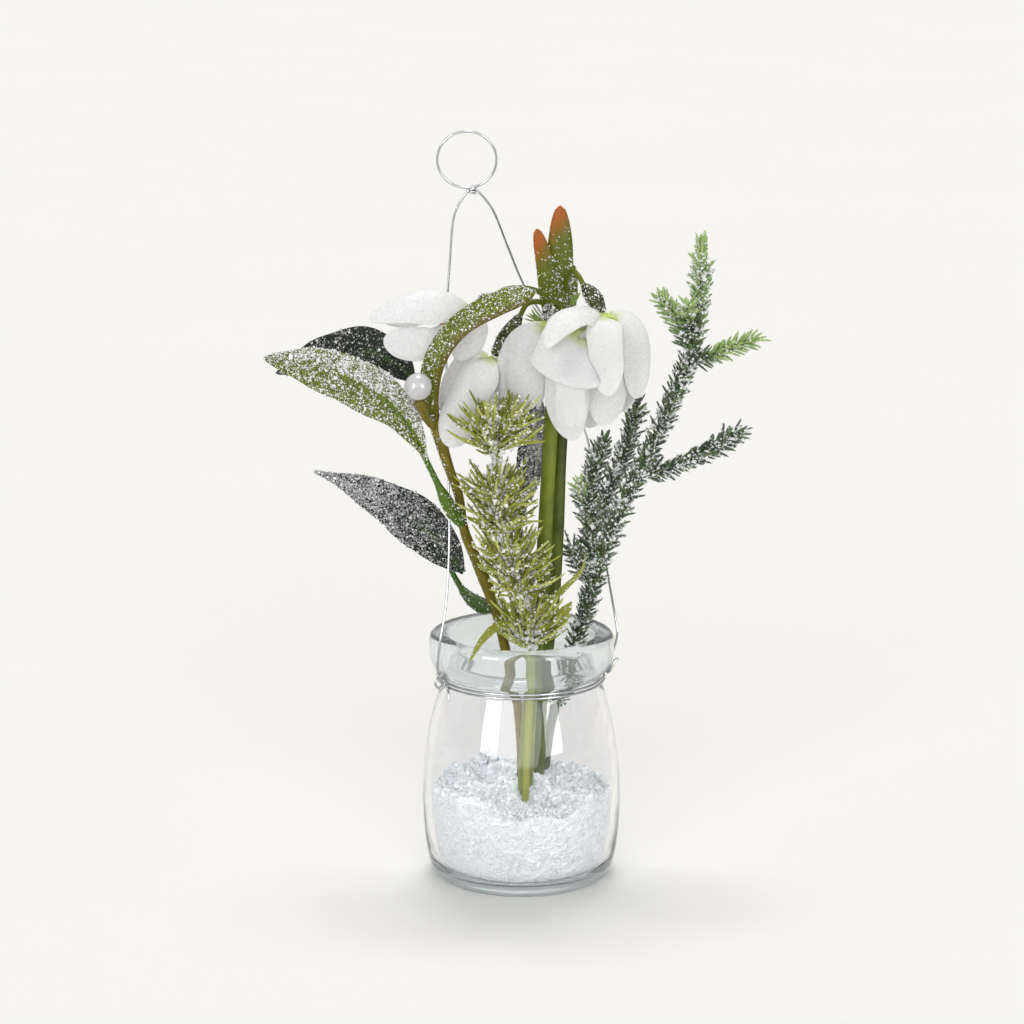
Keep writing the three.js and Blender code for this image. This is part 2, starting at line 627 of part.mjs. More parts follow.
// Mistletoe: an olive stem with a thick curled leaf, two pearl berries and four frosted leaves.
const PEARL_RADIUS = 4.6;
const PEARLS = { front: [-34.6, -22.6, 177], back: [-34, -8.5, 167.2] };
const PEARL_ARMS = [
  {
    route: [[-29, -12.4, 161.5], [-31.4, -16, 162.8], [-33.2, -19.8, 166.2], [-34.2, -22, 171.6]],
    radii: [1.5, 1.2, 1.2, 1.9],
    steps: 5,
    sides: 6,
  },
  {
    route: [[-28.6, -12, 160.5], [-31.2, -10.8, 162.6], [-33, -9.4, 165]],
    radii: [1.4, 1.2, 1.6],
    steps: 3,
    sides: 6,
  },
];

function mistletoeGrowth(extra = 0) {
  return joined([MISTLETOE_STEM, ...PEARL_ARMS].map((arm) => stalk(arm, extra)));
}

const pearlSeats = joined(Object.values(PEARLS).map((centre) => ball(centre, PEARL_RADIUS + GAP, 12)));
const mistletoeStem = mainBody(mistletoeGrowth().subtract(pearlSeats));

const CURLED_LEAF = {
  route: [[-29.2, -12.5, 163], [-30.5, -15.5, 172], [-30.3, -18.5, 181], [-26.5, -20.5, 190.5],
    [-19.5, -21.5, 198.5], [-7.5, -21, 205], [4.6, -19, 208.6]],
  widths: [1.6, 2.6, 3.9, 4.3, 4.3, 4.4, 4.6, 4.2, 2.2],
  depth: 1.5,
};

function curledLeaf() {
  const curve = route(CURLED_LEAF.route);
  const widthAt = radiusThrough(CURLED_LEAF.widths);
  const steps = 13;
  const rings = [];
  for (let i = 0; i <= steps; i += 1) {
    const t = i / steps;
    const centre = curve.getPointAt(t);
    const along = curve.getTangentAt(t);
    const face = vec(-0.35, -0.9, 0.55);
    face.addScaledVector(along, -face.dot(along)).normalize();
    const side = new THREE.Vector3().crossVectors(along, face);
    const ring = [];
    for (let j = 0; j < 8; j += 1) {
      const angle = (2 * Math.PI * j) / 8;
      ring.push(centre.clone()
        .addScaledVector(side, -widthAt(t) * Math.cos(angle))
        .addScaledVector(face, CURLED_LEAF.depth * Math.sin(angle)));
    }
    rings.push(ring);
  }
  return loft(rings);
}

const LEAVES = {
  upper: {
    stalk: [[-20.5, -8.6, 127], [-25, -13, 135], [-30.5, -14, 146.5], [-33.5, -14.5, 153]],
    radii: [1.5, 1.7, 1, 1],
    route: [[-32.4, -14.4, 150.5], [-36, -15, 158.5], [-43, -16.5, 168.5], [-56, -18, 177.5],
      [-70.5, -20, 184], [-86, -22, 187]],
    width: 17,
    widest: 0.47,
    face: [0.15, -1, 0.35],
  },
  dark: {
    stalk: [[-27.6, -12, 157], [-28.3, -8.5, 161], [-29.5, -4, 167], [-32, -1.8, 172], [-38, -1.6, 176.5]],
    radii: [1, 1, 0.9],
    route: [[-36, -2.6, 174.8], [-43, 0, 181], [-53, 2, 184.5], [-68, 3, 182.5], [-83.5, 2, 177]],
    width: 16,
    widest: 0.42,
    face: [0.1, -1, 0.2],
  },
  lower: {
    stalk: [[-9.4, -4, 96.5], [-14, -1, 96.5], [-19, 2, 99.5], [-23, 4.6, 105], [-25.6, 6, 110.5]],
    radii: [1.3, 1.6, 1, 1],
    route: [[-20, 5.4, 106.5], [-26, 7, 113.5], [-35, 8.6, 122.5], [-46, 10, 130], [-59, 11, 136.5],
      [-71.5, 11, 141]],
    width: 16.5,
    widest: 0.34,
    face: [-0.1, -1, 0.4],
  },
  back: {
    stalk: [[-9.6, -4.2, 97.5], [-6, -3, 108], [-2, -1, 120], [1, 1, 131]],
    radii: [1, 0.9, 0.9],
    route: [[0.4, 0.8, 129], [2.4, 2.2, 141], [4, 3.6, 156], [6, 5, 171]],
    width: 9,
    widest: 0.5,
    face: [0, -1, 0.1],
  },
};

function frostedLeaf({ stalk: stem, radii, route: list, width, widest, face }) {
  const plate = blade({
    curve: route(list),
    steps: 8,
    across: 4,
    halfAt: (t) => {
      const swell = Math.sin((Math.PI / 2) * Math.min(t / widest, 1)) ** 0.8;
      const taper = t < widest ? 1 : Math.cos((Math.PI / 2) * ((t - widest) / (1 - widest))) ** 0.7;
      const wave = 1 + 0.05 * Math.sin(19 * t);
      return Math.max((width / 2) * swell * taper * wave, 0.9);
    },
    faceAt: () => vec(...face),
    liftAt: (u, t) => 0.17 * (width / 2) * Math.abs(u) + 0.5 * Math.sin(13 * t) * u,
    thickness: LEAF_THICKNESS,
  });
  const leaf = joined([plate, stalk({ route: stem, radii, steps: 6, sides: 5 })]);
  return mainBody(leaf.subtract(mistletoeGrowth(GAP)));
}

const flowers = Object.fromEntries(Object.entries(BLOOMS).map(([key, bloom]) => (
  [key, { petals: petalsOf(bloom), stamens: stamensOf(bloom) }])));
const topLeaf = mainBody(curledLeaf().subtract(joined([mistletoeGrowth(GAP), pearlSeats])));
const pearls = Object.fromEntries(Object.entries(PEARLS).map(([key, centre]) => (
  [key, ball(centre, PEARL_RADIUS, 10)])));
const leaves = Object.fromEntries(Object.entries(LEAVES).map(([key, shape]) => [key, frostedLeaf(shape)]));

// Needles. One that would touch a neighbour is turned a little until it is clear, or left off.
function needle(root, direction, length, radius) {
  const tip = root.clone().addScaledVector(direction, length);
  return rod(new THREE.LineCurve3(root, tip), (t) => radius * (1 - t), 1, 3);
}

function clearNeedle(root, direction, length, radius, neighbours) {
  const axis = new THREE.Vector3().crossVectors(direction, vec(0.3, 0.2, 1)).normalize();
  for (const turn of NEEDLE_TURNS) {
    const turned = direction.clone().applyAxisAngle(axis, turn);
    if (clearOf(needle(root, turned, length + 0.6, radius + GAP), neighbours)) {
      return [needle(root, turned, length, radius)];
    }
  }
  return [];
}

const GOLDEN_ANGLE = Math.PI * (3 - Math.sqrt(5));
const FROM_Y_UP = new THREE.Euler(Math.PI / 2, 0, 0);

// Soft needle sprig: four tufts on one thin stem, with two curly straps and a bract at its foot.
const TUFTS = [
  { centre: [3, -14.8, 90], count: 20, length: 16, low: 1.35 },
  { centre: [-3.5, -18.4, 114.6], count: 18, length: 14, low: 1.8 },
  { centre: [-8, -20, 137], count: 18, length: 13.5, low: 1.8 },
  { centre: [-8.6, -21, 160.5], count: 20, length: 14.5, low: 1.7 },
];
const STRAPS = [
  { width: 3.4, route: [[4, -15, 89], [-2, -19, 93.5], [-8, -24, 95], [-13.5, -28.5, 91], [-18, -32, 84]] },
  { width: 2.4, route: [[5, -13.5, 90], [9, -12, 99], [15, -9.5, 105], [20.5, -6, 110], [22, -4, 116]] },
  { width: 6, route: [[5, -14.5, 88.6], [10, -15.5, 92], [14, -15, 97], [17, -14, 101]] },
];

function strap({ route: list, width }) {
  return blade({
    curve: route(list),
    steps: 6,
    across: 2,
    halfAt: (t) => (width / 2) * Math.max(Math.sin(Math.PI * (0.2 + 0.75 * t)), 0.3),
    faceAt: () => vec(0.2, -0.6, 0.8),
    liftAt: (u, t) => 0.2 * (width / 2) * Math.abs(u) * (1 - t),
    thickness: 0.6,
  });
}

function softSprig(neighbours) {
  const random = seededRandom(11);
  const parts = [stalk(SOFT_STEM)];
  const body = (solid) => parts.push(solid);
  STRAPS.map(strap).forEach(body);
  TUFTS.forEach(({ centre, count, length, low }) => {
    body(ball(centre, TUFT_CORE, 7));
    for (let i = 0; i < count; i += 1) {
      const polar = 0.3 + (low - 0.3) * Math.sqrt((i + 0.5) / count);
      const azimuth = i * GOLDEN_ANGLE + 0.3 * random();
      const direction = vec(0, 0, 0).setFromSphericalCoords(1, polar, azimuth).applyEuler(FROM_Y_UP);
      const root = vec(...centre).addScaledVector(direction, TUFT_CORE - 0.7);
      const reach = length * (0.82 + 0.25 * random());
      clearNeedle(root, direction, reach, SOFT_NEEDLE_RADIUS, neighbours).forEach(body);
    }
  });
  return joined(parts);
}

// Fir twig: a main shoot with side shoots, each set round with short flat needles.
const shoot = (from, radii, list) => ({ route: list, radii, from, steps: 3, sides: 4 });
const FIR_SHOOTS = [
  { ...FIR_STEM, from: 0.34 },
  shoot(0.1, [1, 0.9, 0.6], [[56.8, 5, 180.5], [67, 3.6, 184], [78, 2, 188.6]]),
  shoot(0.1, [1, 0.9, 0.6], [[57.6, 5, 184], [53, 8, 194], [48, 10, 201]]),
  shoot(0.2, [1, 0.9, 0.6], [[59.6, 4.5, 190], [57, 0.5, 195], [55.8, -1.5, 200.5]]),
  shoot(0.1, [1.1, 1, 0.6], [[39.5, 7.5, 140], [55, 4, 145.5], [73.5, 1, 156]]),
  shoot(0.1, [1.2, 1.1, 0.6], [[25, 9.8, 101], [24, 12, 116], [22.4, 14.4, 127], [20.5, 15.5, 134.5]]),
  shoot(0.1, [1.1, 1, 0.6], [[24, 12, 116], [31.5, 16, 136], [37, 18, 150], [39.6, 18.4, 162]]),
  shoot(0.1, [1.1, 1, 0.6], [[23, 13.6, 124], [24.5, 18, 138], [28, 21, 148]]),
  shoot(0.2, [1, 0.9, 0.6], [[24.6, 10, 100], [20.5, 11.4, 108], [17.4, 12.6, 113.6]]),
];

function firTwig(neighbours) {
  const random = seededRandom(23);
  const parts = FIR_SHOOTS.map((shape) => stalk(shape));
  FIR_SHOOTS.forEach(({ route: list, from }) => {
    const curve = route(list);
    const count = Math.floor((curve.getLength() * (1 - from)) / FIR_NEEDLE_SPACING);
    for (let i = 0; i <= count; i += 1) {
      const t = from + (1 - from) * (i / count);
      const centre = curve.getPointAt(t);
      const along = curve.getTangentAt(t);
      const start = new THREE.Vector3().crossVectors(along, vec(0, 1, 0)).normalize();
      const outward = start.applyAxisAngle(along, i * GOLDEN_ANGLE + 0.4 * random());
      const lean = t > 0.985 ? 2 : 1.15;
      const direction = outward.clone().addScaledVector(along, lean + 0.2 * random()).normalize();
      const reach = FIR_NEEDLE_LENGTH * (0.85 + 0.3 * random());
      clearNeedle(centre, direction, reach, FIR_NEEDLE_RADIUS, neighbours)
        .forEach((solid) => parts.push(solid));
    }
  });
  return joined(parts);
}

const petalSolids = Object.values(flowers).flatMap(({ petals, stamens }) => [petals, stamens]);
const stillPieces = [jar, snow, binding, hangerWire, frontStem, backStem, snowdropSheath, ...petalSolids,
  mistletoeStem, topLeaf, ...Object.values(pearls), ...Object.values(leaves)];
const softNeedles = softSprig(stillPieces);
const firNeedles = firTwig([...stillPieces, softNeedles]);

// Pieces and their finishes
addPiece('glass_jar', jar, { color: 0xdce9e6, roughness: 0.05, metalness: 0 });
addPiece('snow_crystals', snow, { color: 0xf2f7f8, roughness: 0.6, metalness: 0 });
addPiece('binding_wire', binding, { color: 0xb9bcbd, roughness: 0.3, metalness: 1 });
addPiece('hanger_wire', hangerWire, { color: 0xb9bcbd, roughness: 0.3, metalness: 1 });
addPiece('snowdrop_stem_front', frontStem, { color: 0x8a9a3c, roughness: 0.5, metalness: 0 });
addPiece('snowdrop_stem_back', backStem, { color: 0x66782a, roughness: 0.5, metalness: 0 });
addPiece('snowdrop_sheath', snowdropSheath, { color: 0x5f7f22, roughness: 0.6, metalness: 0 });
Object.entries(flowers).forEach(([key, { petals, stamens }]) => {
  addPiece(`bloom_${key}_petals`, petals, { color: 0xf4f4f2, roughness: 0.7, metalness: 0 });
  addPiece(`bloom_${key}_stamens`, stamens, { color: 0xe8c32e, roughness: 0.7, metalness: 0 });
});
addPiece('mistletoe_stem', mistletoeStem, { color: 0x857a2c, roughness: 0.55, metalness: 0 });
addPiece('mistletoe_curled_leaf', topLeaf, { color: 0x5c8230, roughness: 0.6, metalness: 0 });
Object.entries(pearls).forEach(([key, pearl]) => {
  addPiece(`pearl_berry_${key}`, pearl, { color: 0xf1f0ee, roughness: 0.25, metalness: 0 });
});
Object.entries(leaves).forEach(([key, leaf]) => {
  addPiece(`frosted_leaf_${key}`, leaf, { color: 0x8d9c7e, roughness: 0.75, metalness: 0 });
});
addPiece('soft_needle_sprig', softNeedles, { color: 0x9fae4c, roughness: 0.6, metalness: 0 });
addPiece('fir_twig', firNeedles, { color: 0x4a6b4e, roughness: 0.65, metalness: 0 });

export default group;
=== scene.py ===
import math
from collections import namedtuple

import bpy
import numpy as np
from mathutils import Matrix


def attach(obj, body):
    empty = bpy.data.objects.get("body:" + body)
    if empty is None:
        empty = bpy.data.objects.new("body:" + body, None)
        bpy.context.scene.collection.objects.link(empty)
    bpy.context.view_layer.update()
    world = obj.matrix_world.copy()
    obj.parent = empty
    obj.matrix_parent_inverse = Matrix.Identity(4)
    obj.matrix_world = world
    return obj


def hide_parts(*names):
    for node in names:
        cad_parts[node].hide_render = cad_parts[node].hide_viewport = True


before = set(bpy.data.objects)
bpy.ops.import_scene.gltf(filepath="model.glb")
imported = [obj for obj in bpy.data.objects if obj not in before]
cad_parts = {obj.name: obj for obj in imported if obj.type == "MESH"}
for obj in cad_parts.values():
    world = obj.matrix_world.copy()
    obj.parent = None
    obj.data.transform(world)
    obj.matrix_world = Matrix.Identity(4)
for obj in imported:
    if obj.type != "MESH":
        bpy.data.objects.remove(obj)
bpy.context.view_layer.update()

# The object's sizes are in millimetres, the studio's distances in metres.
MM = 0.001


# Studio. A pale paper sweep under an even sky of white cloth, a soft lamp overhead, a broader one in
# front, and two tall windows that only gloss and glass reflect. White boards far out at the sides
# brighten the edges of the glass. The camera looks a little down through a long lens.
CAMERA_PLACE = (-0.0033, -1.150, 0.3856)
CAMERA_PITCH_DEG = 12.57
CAMERA_LENS_MM = 120.9
FILM_WIDTH_MM = 36
FLOOR_SIDE = 60
SKY_STRENGTH = 0.4
SKY_THROUGH_GLASS = 0.42
LAMPS = {
    "top_lamp": {"strength": 1.58, "spread_deg": 20, "tilt_deg": (-11, 1, 0)},
    "front_lamp": {"strength": 1.5, "spread_deg": 60, "tilt_deg": (70, -10, 0)},
}
WINDOW_DISTANCE = 1.6
WINDOW_SIZE = (0.62, 1.05)
WINDOW_BEARINGS_DEG = (-40, 40)
WINDOW_HEIGHT = 0.62
WINDOW_POWER = 17
CARD_PLACES = ((-1.3, -0.15, 0.3), (1.3, -0.15, 0.3), (-0.9, 1.1, 0.3), (0.9, 1.1, 0.3))
CARD_SIZE = (0.5, 1.3)


def linear(hex_colour):
    """An sRGB colour such as "f4f3ef" as the linear colour that a socket takes."""
    channels = [int(hex_colour[i:i + 2], 16) / 255 for i in (0, 2, 4)]
    return [c / 12.92 if c <= 0.04045 else ((c + 0.055) / 1.055) ** 2.4 for c in channels] + [1.0]


def new_finish(name):
    """An empty material and its node tree."""
    finish = bpy.data.materials.new(name)
    finish.use_nodes = True
    finish.node_tree.nodes.clear()
    return finish, finish.node_tree


def add_node(tree, kind, settings=None, links=None):
    """Adds a node. A setting or a link names one of its inputs, or else a setting is a property."""
    node = tree.nodes.new("ShaderNode" + kind)
    for name, value in (settings or {}).items():
        if isinstance(name, int) or name in node.inputs:
            node.inputs[name].default_value = value
        else:
            setattr(node, name, value)
    for name, (source, output) in (links or {}).items():
        tree.links.new(source.outputs[output], node.inputs[name])
    return node


def stand_card(name, corners, finish):
    """A flat card or floor of the studio, which isn't part of the object."""
    mesh = bpy.data.meshes.new(name)
    mesh.from_pydata(corners, [], [tuple(range(len(corners)))])
    mesh.materials.append(finish)
    card = bpy.data.objects.new(name, mesh)
    bpy.context.scene.collection.objects.link(card)
    return card


# Matt paper lights every side softly. Its fibres are too fine to show, so they are drawn as faint
# clouds 4 mm wide.
paper, tree = new_finish("uncoated_paper_sweep")
paper_fibre = add_node(tree, "TexNoise", {"Scale": 1 / (4 * MM), "Detail": 2.0})
paper_tone = add_node(tree, "Mix", {"data_type": "RGBA", 6: linear("f0efeb"), 7: linear("f2f1ed")},
                      {0: (paper_fibre, "Fac")})
paper_skin = add_node(tree, "BsdfDiffuse", {}, {"Color": (paper_tone, 2)})
add_node(tree, "OutputMaterial", {}, {"Surface": (paper_skin, "BSDF")})
half = FLOOR_SIDE / 2
stand_card("paper_sweep", [(-half, -half, 0), (half, -half, 0), (half, half, 0), (-half, half, 0)], paper)

# Plain white board, seen only as a pale streak in the glass.
foam_board, tree = new_finish("white_foam_board")
foam_skin = add_node(tree, "BsdfDiffuse", {"Color": linear("f0f0f0")})
add_node(tree, "OutputMaterial", {}, {"Surface": (foam_skin, "BSDF")})
for number, (x, y, z) in enumerate(CARD_PLACES):
    turn = math.atan2(x, -y)
    across = np.array([math.cos(turn), math.sin(turn), 0]) * CARD_SIZE[0] / 2
    up = np.array([0, 0, CARD_SIZE[1] / 2])
    middle = np.array([x, y, z])
    corners = [middle - across - up, middle + across - up, middle + across + up, middle - across + up]
    card = stand_card(f"side_card_{number}", [tuple(corner) for corner in corners], foam_board)
    card.visible_camera = card.visible_diffuse = card.visible_shadow = False

world = bpy.data.worlds.new("white_cloth_sky")
bpy.context.scene.world = world
world.use_nodes = True
sky = world.node_tree.nodes["Background"]
sky.inputs["Color"].default_value = linear("fffefc")
ray = add_node(world.node_tree, "LightPath")
# Glass is seen against a brighter sky than the one that lights the object, as in a light tent.
sky_power = add_node(world.node_tree, "Math", {
    "operation": "MULTIPLY_ADD", 1: SKY_THROUGH_GLASS, 2: SKY_STRENGTH,
}, {0: (ray, "Is Transmission Ray")})
world.node_tree.links.new(sky_power.outputs[0], sky.inputs["Strength"])

for name, setting in LAMPS.items():
    lamp = bpy.data.objects.new(name, bpy.data.lights.new(name, "SUN"))
    lamp.data.energy = setting["strength"]
    lamp.data.angle = math.radians(setting["spread_deg"])
    lamp.rotation_euler = [math.radians(angle) for angle in setting["tilt_deg"]]
    bpy.context.scene.collection.objects.link(lamp)

for number, bearing in enumerate(WINDOW_BEARINGS_DEG):
    window = bpy.data.objects.new(f"window_{number}", bpy.data.lights.new(f"window_{number}", "AREA"))
    window.data.shape = "RECTANGLE"
    window.data.size, window.data.size_y = WINDOW_SIZE
    window.data.energy = WINDOW_POWER
    angle = math.radians(bearing)
    window.location = (WINDOW_DISTANCE * math.sin(angle), -WINDOW_DISTANCE * math.cos(angle), WINDOW_HEIGHT)
    window.rotation_euler = (math.radians(90), 0, angle)
    window.visible_diffuse = window.visible_transmission = window.visible_camera = False
    bpy.context.scene.collection.objects.link(window)

camera = bpy.data.objects.new("camera", bpy.data.cameras.new("camera"))
camera.location = CAMERA_PLACE
camera.rotation_euler = (math.radians(90 - CAMERA_PITCH_DEG), 0, 0)
camera.data.lens = CAMERA_LENS_MM
camera.data.sensor_width = FILM_WIDTH_MM
bpy.context.scene.collection.objects.link(camera)
bpy.context.scene.camera = camera
bpy.context.scene.view_settings.view_transform = "Standard"


# Glass jar. Soda-lime glass, pressed in a smooth mould and fire polished: a thick base with a round
# heel, a swelling body, a groove for the neck wire and a heavy bead at the rim. One turn of a profile.
JAR_HEIGHT = 87
BASE_RADIUS = 26.5
GROOVE_HEIGHT = 70.5
RIM_RADIUS = 32
MOUTH_RADIUS = 25
GLASS_FLOOR = 3.4
HEEL_HEIGHT = 5
JAR_TURN = 128

Shape = namedtuple("Shape", "points faces tone finish smooth")


def shape_of(points, faces, tone=0.0, finish=0, smooth=True):
    """Part of a piece, in millimetres. Its tone is one number a point, which the piece's finish may read."""
    points = np.asarray(points, float).reshape(-1, 3)
    return Shape(points, np.asarray(faces), np.broadcast_to(np.ravel(tone), len(points)), finish, smooth)


def net_faces(rows, columns):
    """The four-sided faces over rows of points, each row closed into a ring."""
    i, j = np.meshgrid(np.arange(rows - 1), np.arange(columns), indexing="ij")
    beside = (j + 1) % columns
    faces = [i * columns + j, i * columns + beside, (i + 1) * columns + beside, (i + 1) * columns + j]
    return np.stack(faces, -1).reshape(-1, 4)


def make_piece(name, shapes, finishes):
    """One Blender object from its shapes, with the finishes that they name by number."""
    starts = np.cumsum([0] + [len(shape.points) for shape in shapes])
    mesh = bpy.data.meshes.new(name)
    faces = [face for shape, start in zip(shapes, starts) for face in (shape.faces + start).tolist()]
    mesh.from_pydata((np.vstack([shape.points for shape in shapes]) * MM).tolist(), [], faces)
    counts = [len(shape.faces) for shape in shapes]
    mesh.polygons.foreach_set("material_index", np.repeat([shape.finish for shape in shapes], counts))
    mesh.polygons.foreach_set("use_smooth", np.repeat([shape.smooth for shape in shapes], counts))
    tone = mesh.attributes.new("tone", "FLOAT", "POINT")
    tone.data.foreach_set("value", np.concatenate([shape.tone for shape in shapes]).astype(np.float32))
    for finish in finishes:
        mesh.materials.append(finish)
    mesh.update()
    piece = bpy.data.objects.new(name, mesh)
    bpy.context.scene.collection.objects.link(piece)
    return piece


def bezier(corners, steps):
    """Points along the Bezier curve of these corners: an even number of steps, or the given ones."""
    t = (np.linspace(0, 1, steps) if isinstance(steps, int) else steps)[:, None]
    last = len(corners) - 1
    shares = [math.comb(last, k) * t ** k * (1 - t) ** (last - k) for k in range(last + 1)]
    return sum(share * np.array(corner, float) for share, corner in zip(shares, corners))


def turn_on_lathe(profile, segments):
    """A profile of (radius, height) points turned round the upright axis."""
    profile = np.asarray(profile, float)
    angles = np.linspace(0, 2 * math.pi, segments, endpoint=False)
    radius, height = profile[:, :1], profile[:, 1:]
    net = np.stack([radius * np.cos(angles), radius * np.sin(angles), height + 0 * angles], -1)
    return net, net_faces(len(profile), segments)


outer_heel = bezier([(BASE_RADIUS, 0), (31.6, 0), (33, 9.5)], 12)
outer_body = bezier([(33, 9.5), (35.6, 26), (34.4, 50), (28.2, 67.6)], 24)
groove = bezier([(28.2, 67.6), (27.2, 69.6), (27.6, 72.2), (27.8, 73)], 8)
bead_underside = bezier([(27.8, 73), (31.4, 75.5), (RIM_RADIUS, 80)], 10)
bead_shoulder = bezier([
    (RIM_RADIUS, JAR_HEIGHT - 3), (RIM_RADIUS, JAR_HEIGHT), (RIM_RADIUS - 2.6, JAR_HEIGHT),
], 9)
mouth_edge = bezier([
    (MOUTH_RADIUS + 2, JAR_HEIGHT), (MOUTH_RADIUS, JAR_HEIGHT), (MOUTH_RADIUS, JAR_HEIGHT - 2.5),
], 8)
throat = bezier([(MOUTH_RADIUS, GROOVE_HEIGHT + 1), (MOUTH_RADIUS, 69), (25.8, 66.6)], 6)
inner_body = bezier([(25.8, 66.6), (31.6, 50), (33.4, 26), (30.2, 10.5)], 24)
inner_heel = bezier([(30.2, 10.5), (29.2, GLASS_FLOOR), (23, GLASS_FLOOR)], 10)
sunk_foot = [(0.02, 0.6), (16, 0.6), (19.5, 0.25), (22, 0)]
inner_floor = [(12, GLASS_FLOOR), (0.02, GLASS_FLOOR)]
jar_profile = np.vstack([
    sunk_foot, outer_heel, outer_body[1:], groove[1:], bead_underside[1:], bead_shoulder, mouth_edge,
    throat, inner_body[1:], inner_heel[1:], inner_floor,
])


def pressed_glass(name, tint, clearness, shade):
    """Clear glass with faint mould waves 14 mm apart. What it lacks in clearness is a film of frost dust.
    Lamps are let straight through it in its shade, so that what stands inside is lit."""
    finish, tree = new_finish(name)
    place = add_node(tree, "TexCoord")
    waves = add_node(tree, "TexNoise", {"Scale": 1 / (14 * MM), "Detail": 1.0},
                     {"Vector": (place, "Object")})
    relief = add_node(tree, "Bump", {"Strength": 0.12, "Distance": 0.6 * MM}, {"Height": (waves, "Fac")})
    skin = add_node(tree, "BsdfPrincipled", {
        "Base Color": linear(tint), "Roughness": 0.0, "IOR": 1.5, "Transmission Weight": clearness,
    }, {"Normal": (relief, "Normal")})
    lamp_light = add_node(tree, "LightPath")
    let_through = add_node(tree, "BsdfTransparent", {"Color": linear(shade)})
    both = add_node(tree, "MixShader", {}, {
        0: (lamp_light, "Is Shadow Ray"), 1: (skin, "BSDF"), 2: (let_through, "BSDF"),
    })
    add_node(tree, "OutputMaterial", {}, {"Surface": (both, "Shader")})
    return finish


# Thin walls show only what they bend and mirror. Iron in the melt tints the thick bead and heel a faint
# blue-green. Frost dust has settled on them, which softens their dark edges, and they throw more shade.
wall_glass = pressed_glass("soda_lime_glass_wall", "f8f8fa", 1.0, "c6c7ca")
bead_glass = pressed_glass("soda_lime_glass_bead", "eef3f4", 0.9, "a4a7a9")
heel_glass = pressed_glass("soda_lime_glass_heel", "ecf4f6", 0.6, "b0b4b6")

jar_net, jar_faces = turn_on_lathe(jar_profile, JAR_TURN)
jar = make_piece("pressed_glass_jar", [shape_of(jar_net, jar_faces)], [wall_glass, bead_glass, heel_glass])
face_height = jar_net.reshape(-1, 3)[jar_faces, 2].mean(1)
glass_part = np.where(face_height > GROOVE_HEIGHT, 1, np.where(face_height < HEEL_HEIGHT, 2, 0))
jar.data.polygons.foreach_set("material_index", glass_part.astype(np.int32))
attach(jar, "root")
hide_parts("glass_jar")


# Snow crystals. Loose acrylic crystals, clear and white, poured into the jar to a third of its height.
# A packed bed holds the stems, and single crystals lie along the glass and in low heaps on top.
SNOW_LEVEL = 31
CRYSTAL_GAP = 0.4
FLOOR_REACH = 22.6
WALL_CRYSTALS = 9100
TOP_CRYSTALS = 2900
BED_ROUGHNESS = 0.28

rng = np.random.default_rng(3)


def snow_height(x, y):
    """The height of the heaped bed: high at the back, hollowed out in front of the stems."""
    heaps = 2.3 * np.sin(x / 7 + 0.8) * np.cos(y / 8 - 0.4) + 1.5 * np.sin(x / 3.1 + y / 4.3)
    back = 1.6 * np.clip((y - 2) / 12, 0, 1)
    hollow = -4.5 * np.exp(-((x - 4) ** 2 + (y + 8) ** 2) / 70)
    return SNOW_LEVEL + heaps + back + hollow


def inside_radius(height):
    """The radius of the jar's inner wall at this height."""
    wall = np.vstack([inner_body, inner_heel[1:]])[::-1]
    return np.interp(height, wall[:, 1], wall[:, 0])


def any_turns(count, rng):
    """Turns at random, as 3x3 matrices."""
    w, x, y, z = rng.normal(size=(4, count))
    w, x, y, z = np.array([w, x, y, z]) / np.sqrt(w * w + x * x + y * y + z * z)
    rows = [
        [1 - 2 * (y * y + z * z), 2 * (x * y - w * z), 2 * (x * z + w * y)],
        [2 * (x * y + w * z), 1 - 2 * (x * x + z * z), 2 * (y * z - w * x)],
        [2 * (x * z - w * y), 2 * (y * z + w * x), 1 - 2 * (x * x + y * y)],
    ]
    return np.moveaxis(np.array(rows), 2, 0)


def set_copies(template, places, turns, sizes, tone, finish):
    """Faceted copies of a small form, each sized along its own axes, turned and moved to its place."""
    points, faces = template
    sized = points[None] * np.asarray(sizes, float).reshape(len(places), 1, -1)
    made = np.einsum("nij,nkj->nki", turns, sized) + np.asarray(places)[:, None]
    starts = np.arange(len(places))[:, None, None] * len(points)
    tones = np.repeat(np.broadcast_to(tone, len(places)), len(points))
    return shape_of(made, (faces[None] + starts).reshape(-1, faces.shape[1]), tones, finish, False)


# A larger crystal has twenty facets, from a regular form whose corners are moved in and out.
GOLDEN = (1 + math.sqrt(5)) / 2
CHIP_POINTS = np.array([
    [-1, GOLDEN, 0], [1, GOLDEN, 0], [-1, -GOLDEN, 0], [1, -GOLDEN, 0], [0, -1, GOLDEN], [0, 1, GOLDEN],
    [0, -1, -GOLDEN], [0, 1, -GOLDEN], [GOLDEN, 0, -1], [GOLDEN, 0, 1], [-GOLDEN, 0, -1], [-GOLDEN, 0, 1],
]) / math.hypot(1, GOLDEN)
CHIP_FACES = np.array([
    [0, 11, 5], [0, 5, 1], [0, 1, 7], [0, 7, 10], [0, 10, 11], [1, 5, 9], [5, 11, 4], [11, 10, 2],
    [10, 7, 6], [7, 1, 8], [3, 9, 4], [3, 4, 2], [3, 2, 6], [3, 6, 8], [3, 8, 9], [4, 9, 5], [2, 4, 11],
    [6, 2, 10], [8, 6, 7], [9, 8, 1],
])

# The smallest grains have eight facets.
GRAIN_POINTS = np.array([[1, 0, 0], [-1, 0, 0], [0, 1, 0], [0, -1, 0], [0, 0, 1], [0, 0, -1]], float)
GRAIN_FACES = np.array([
    [0, 2, 4], [2, 1, 4], [1, 3, 4], [3, 0, 4], [2, 0, 5], [1, 2, 5], [3, 1, 5], [0, 3, 5],
])


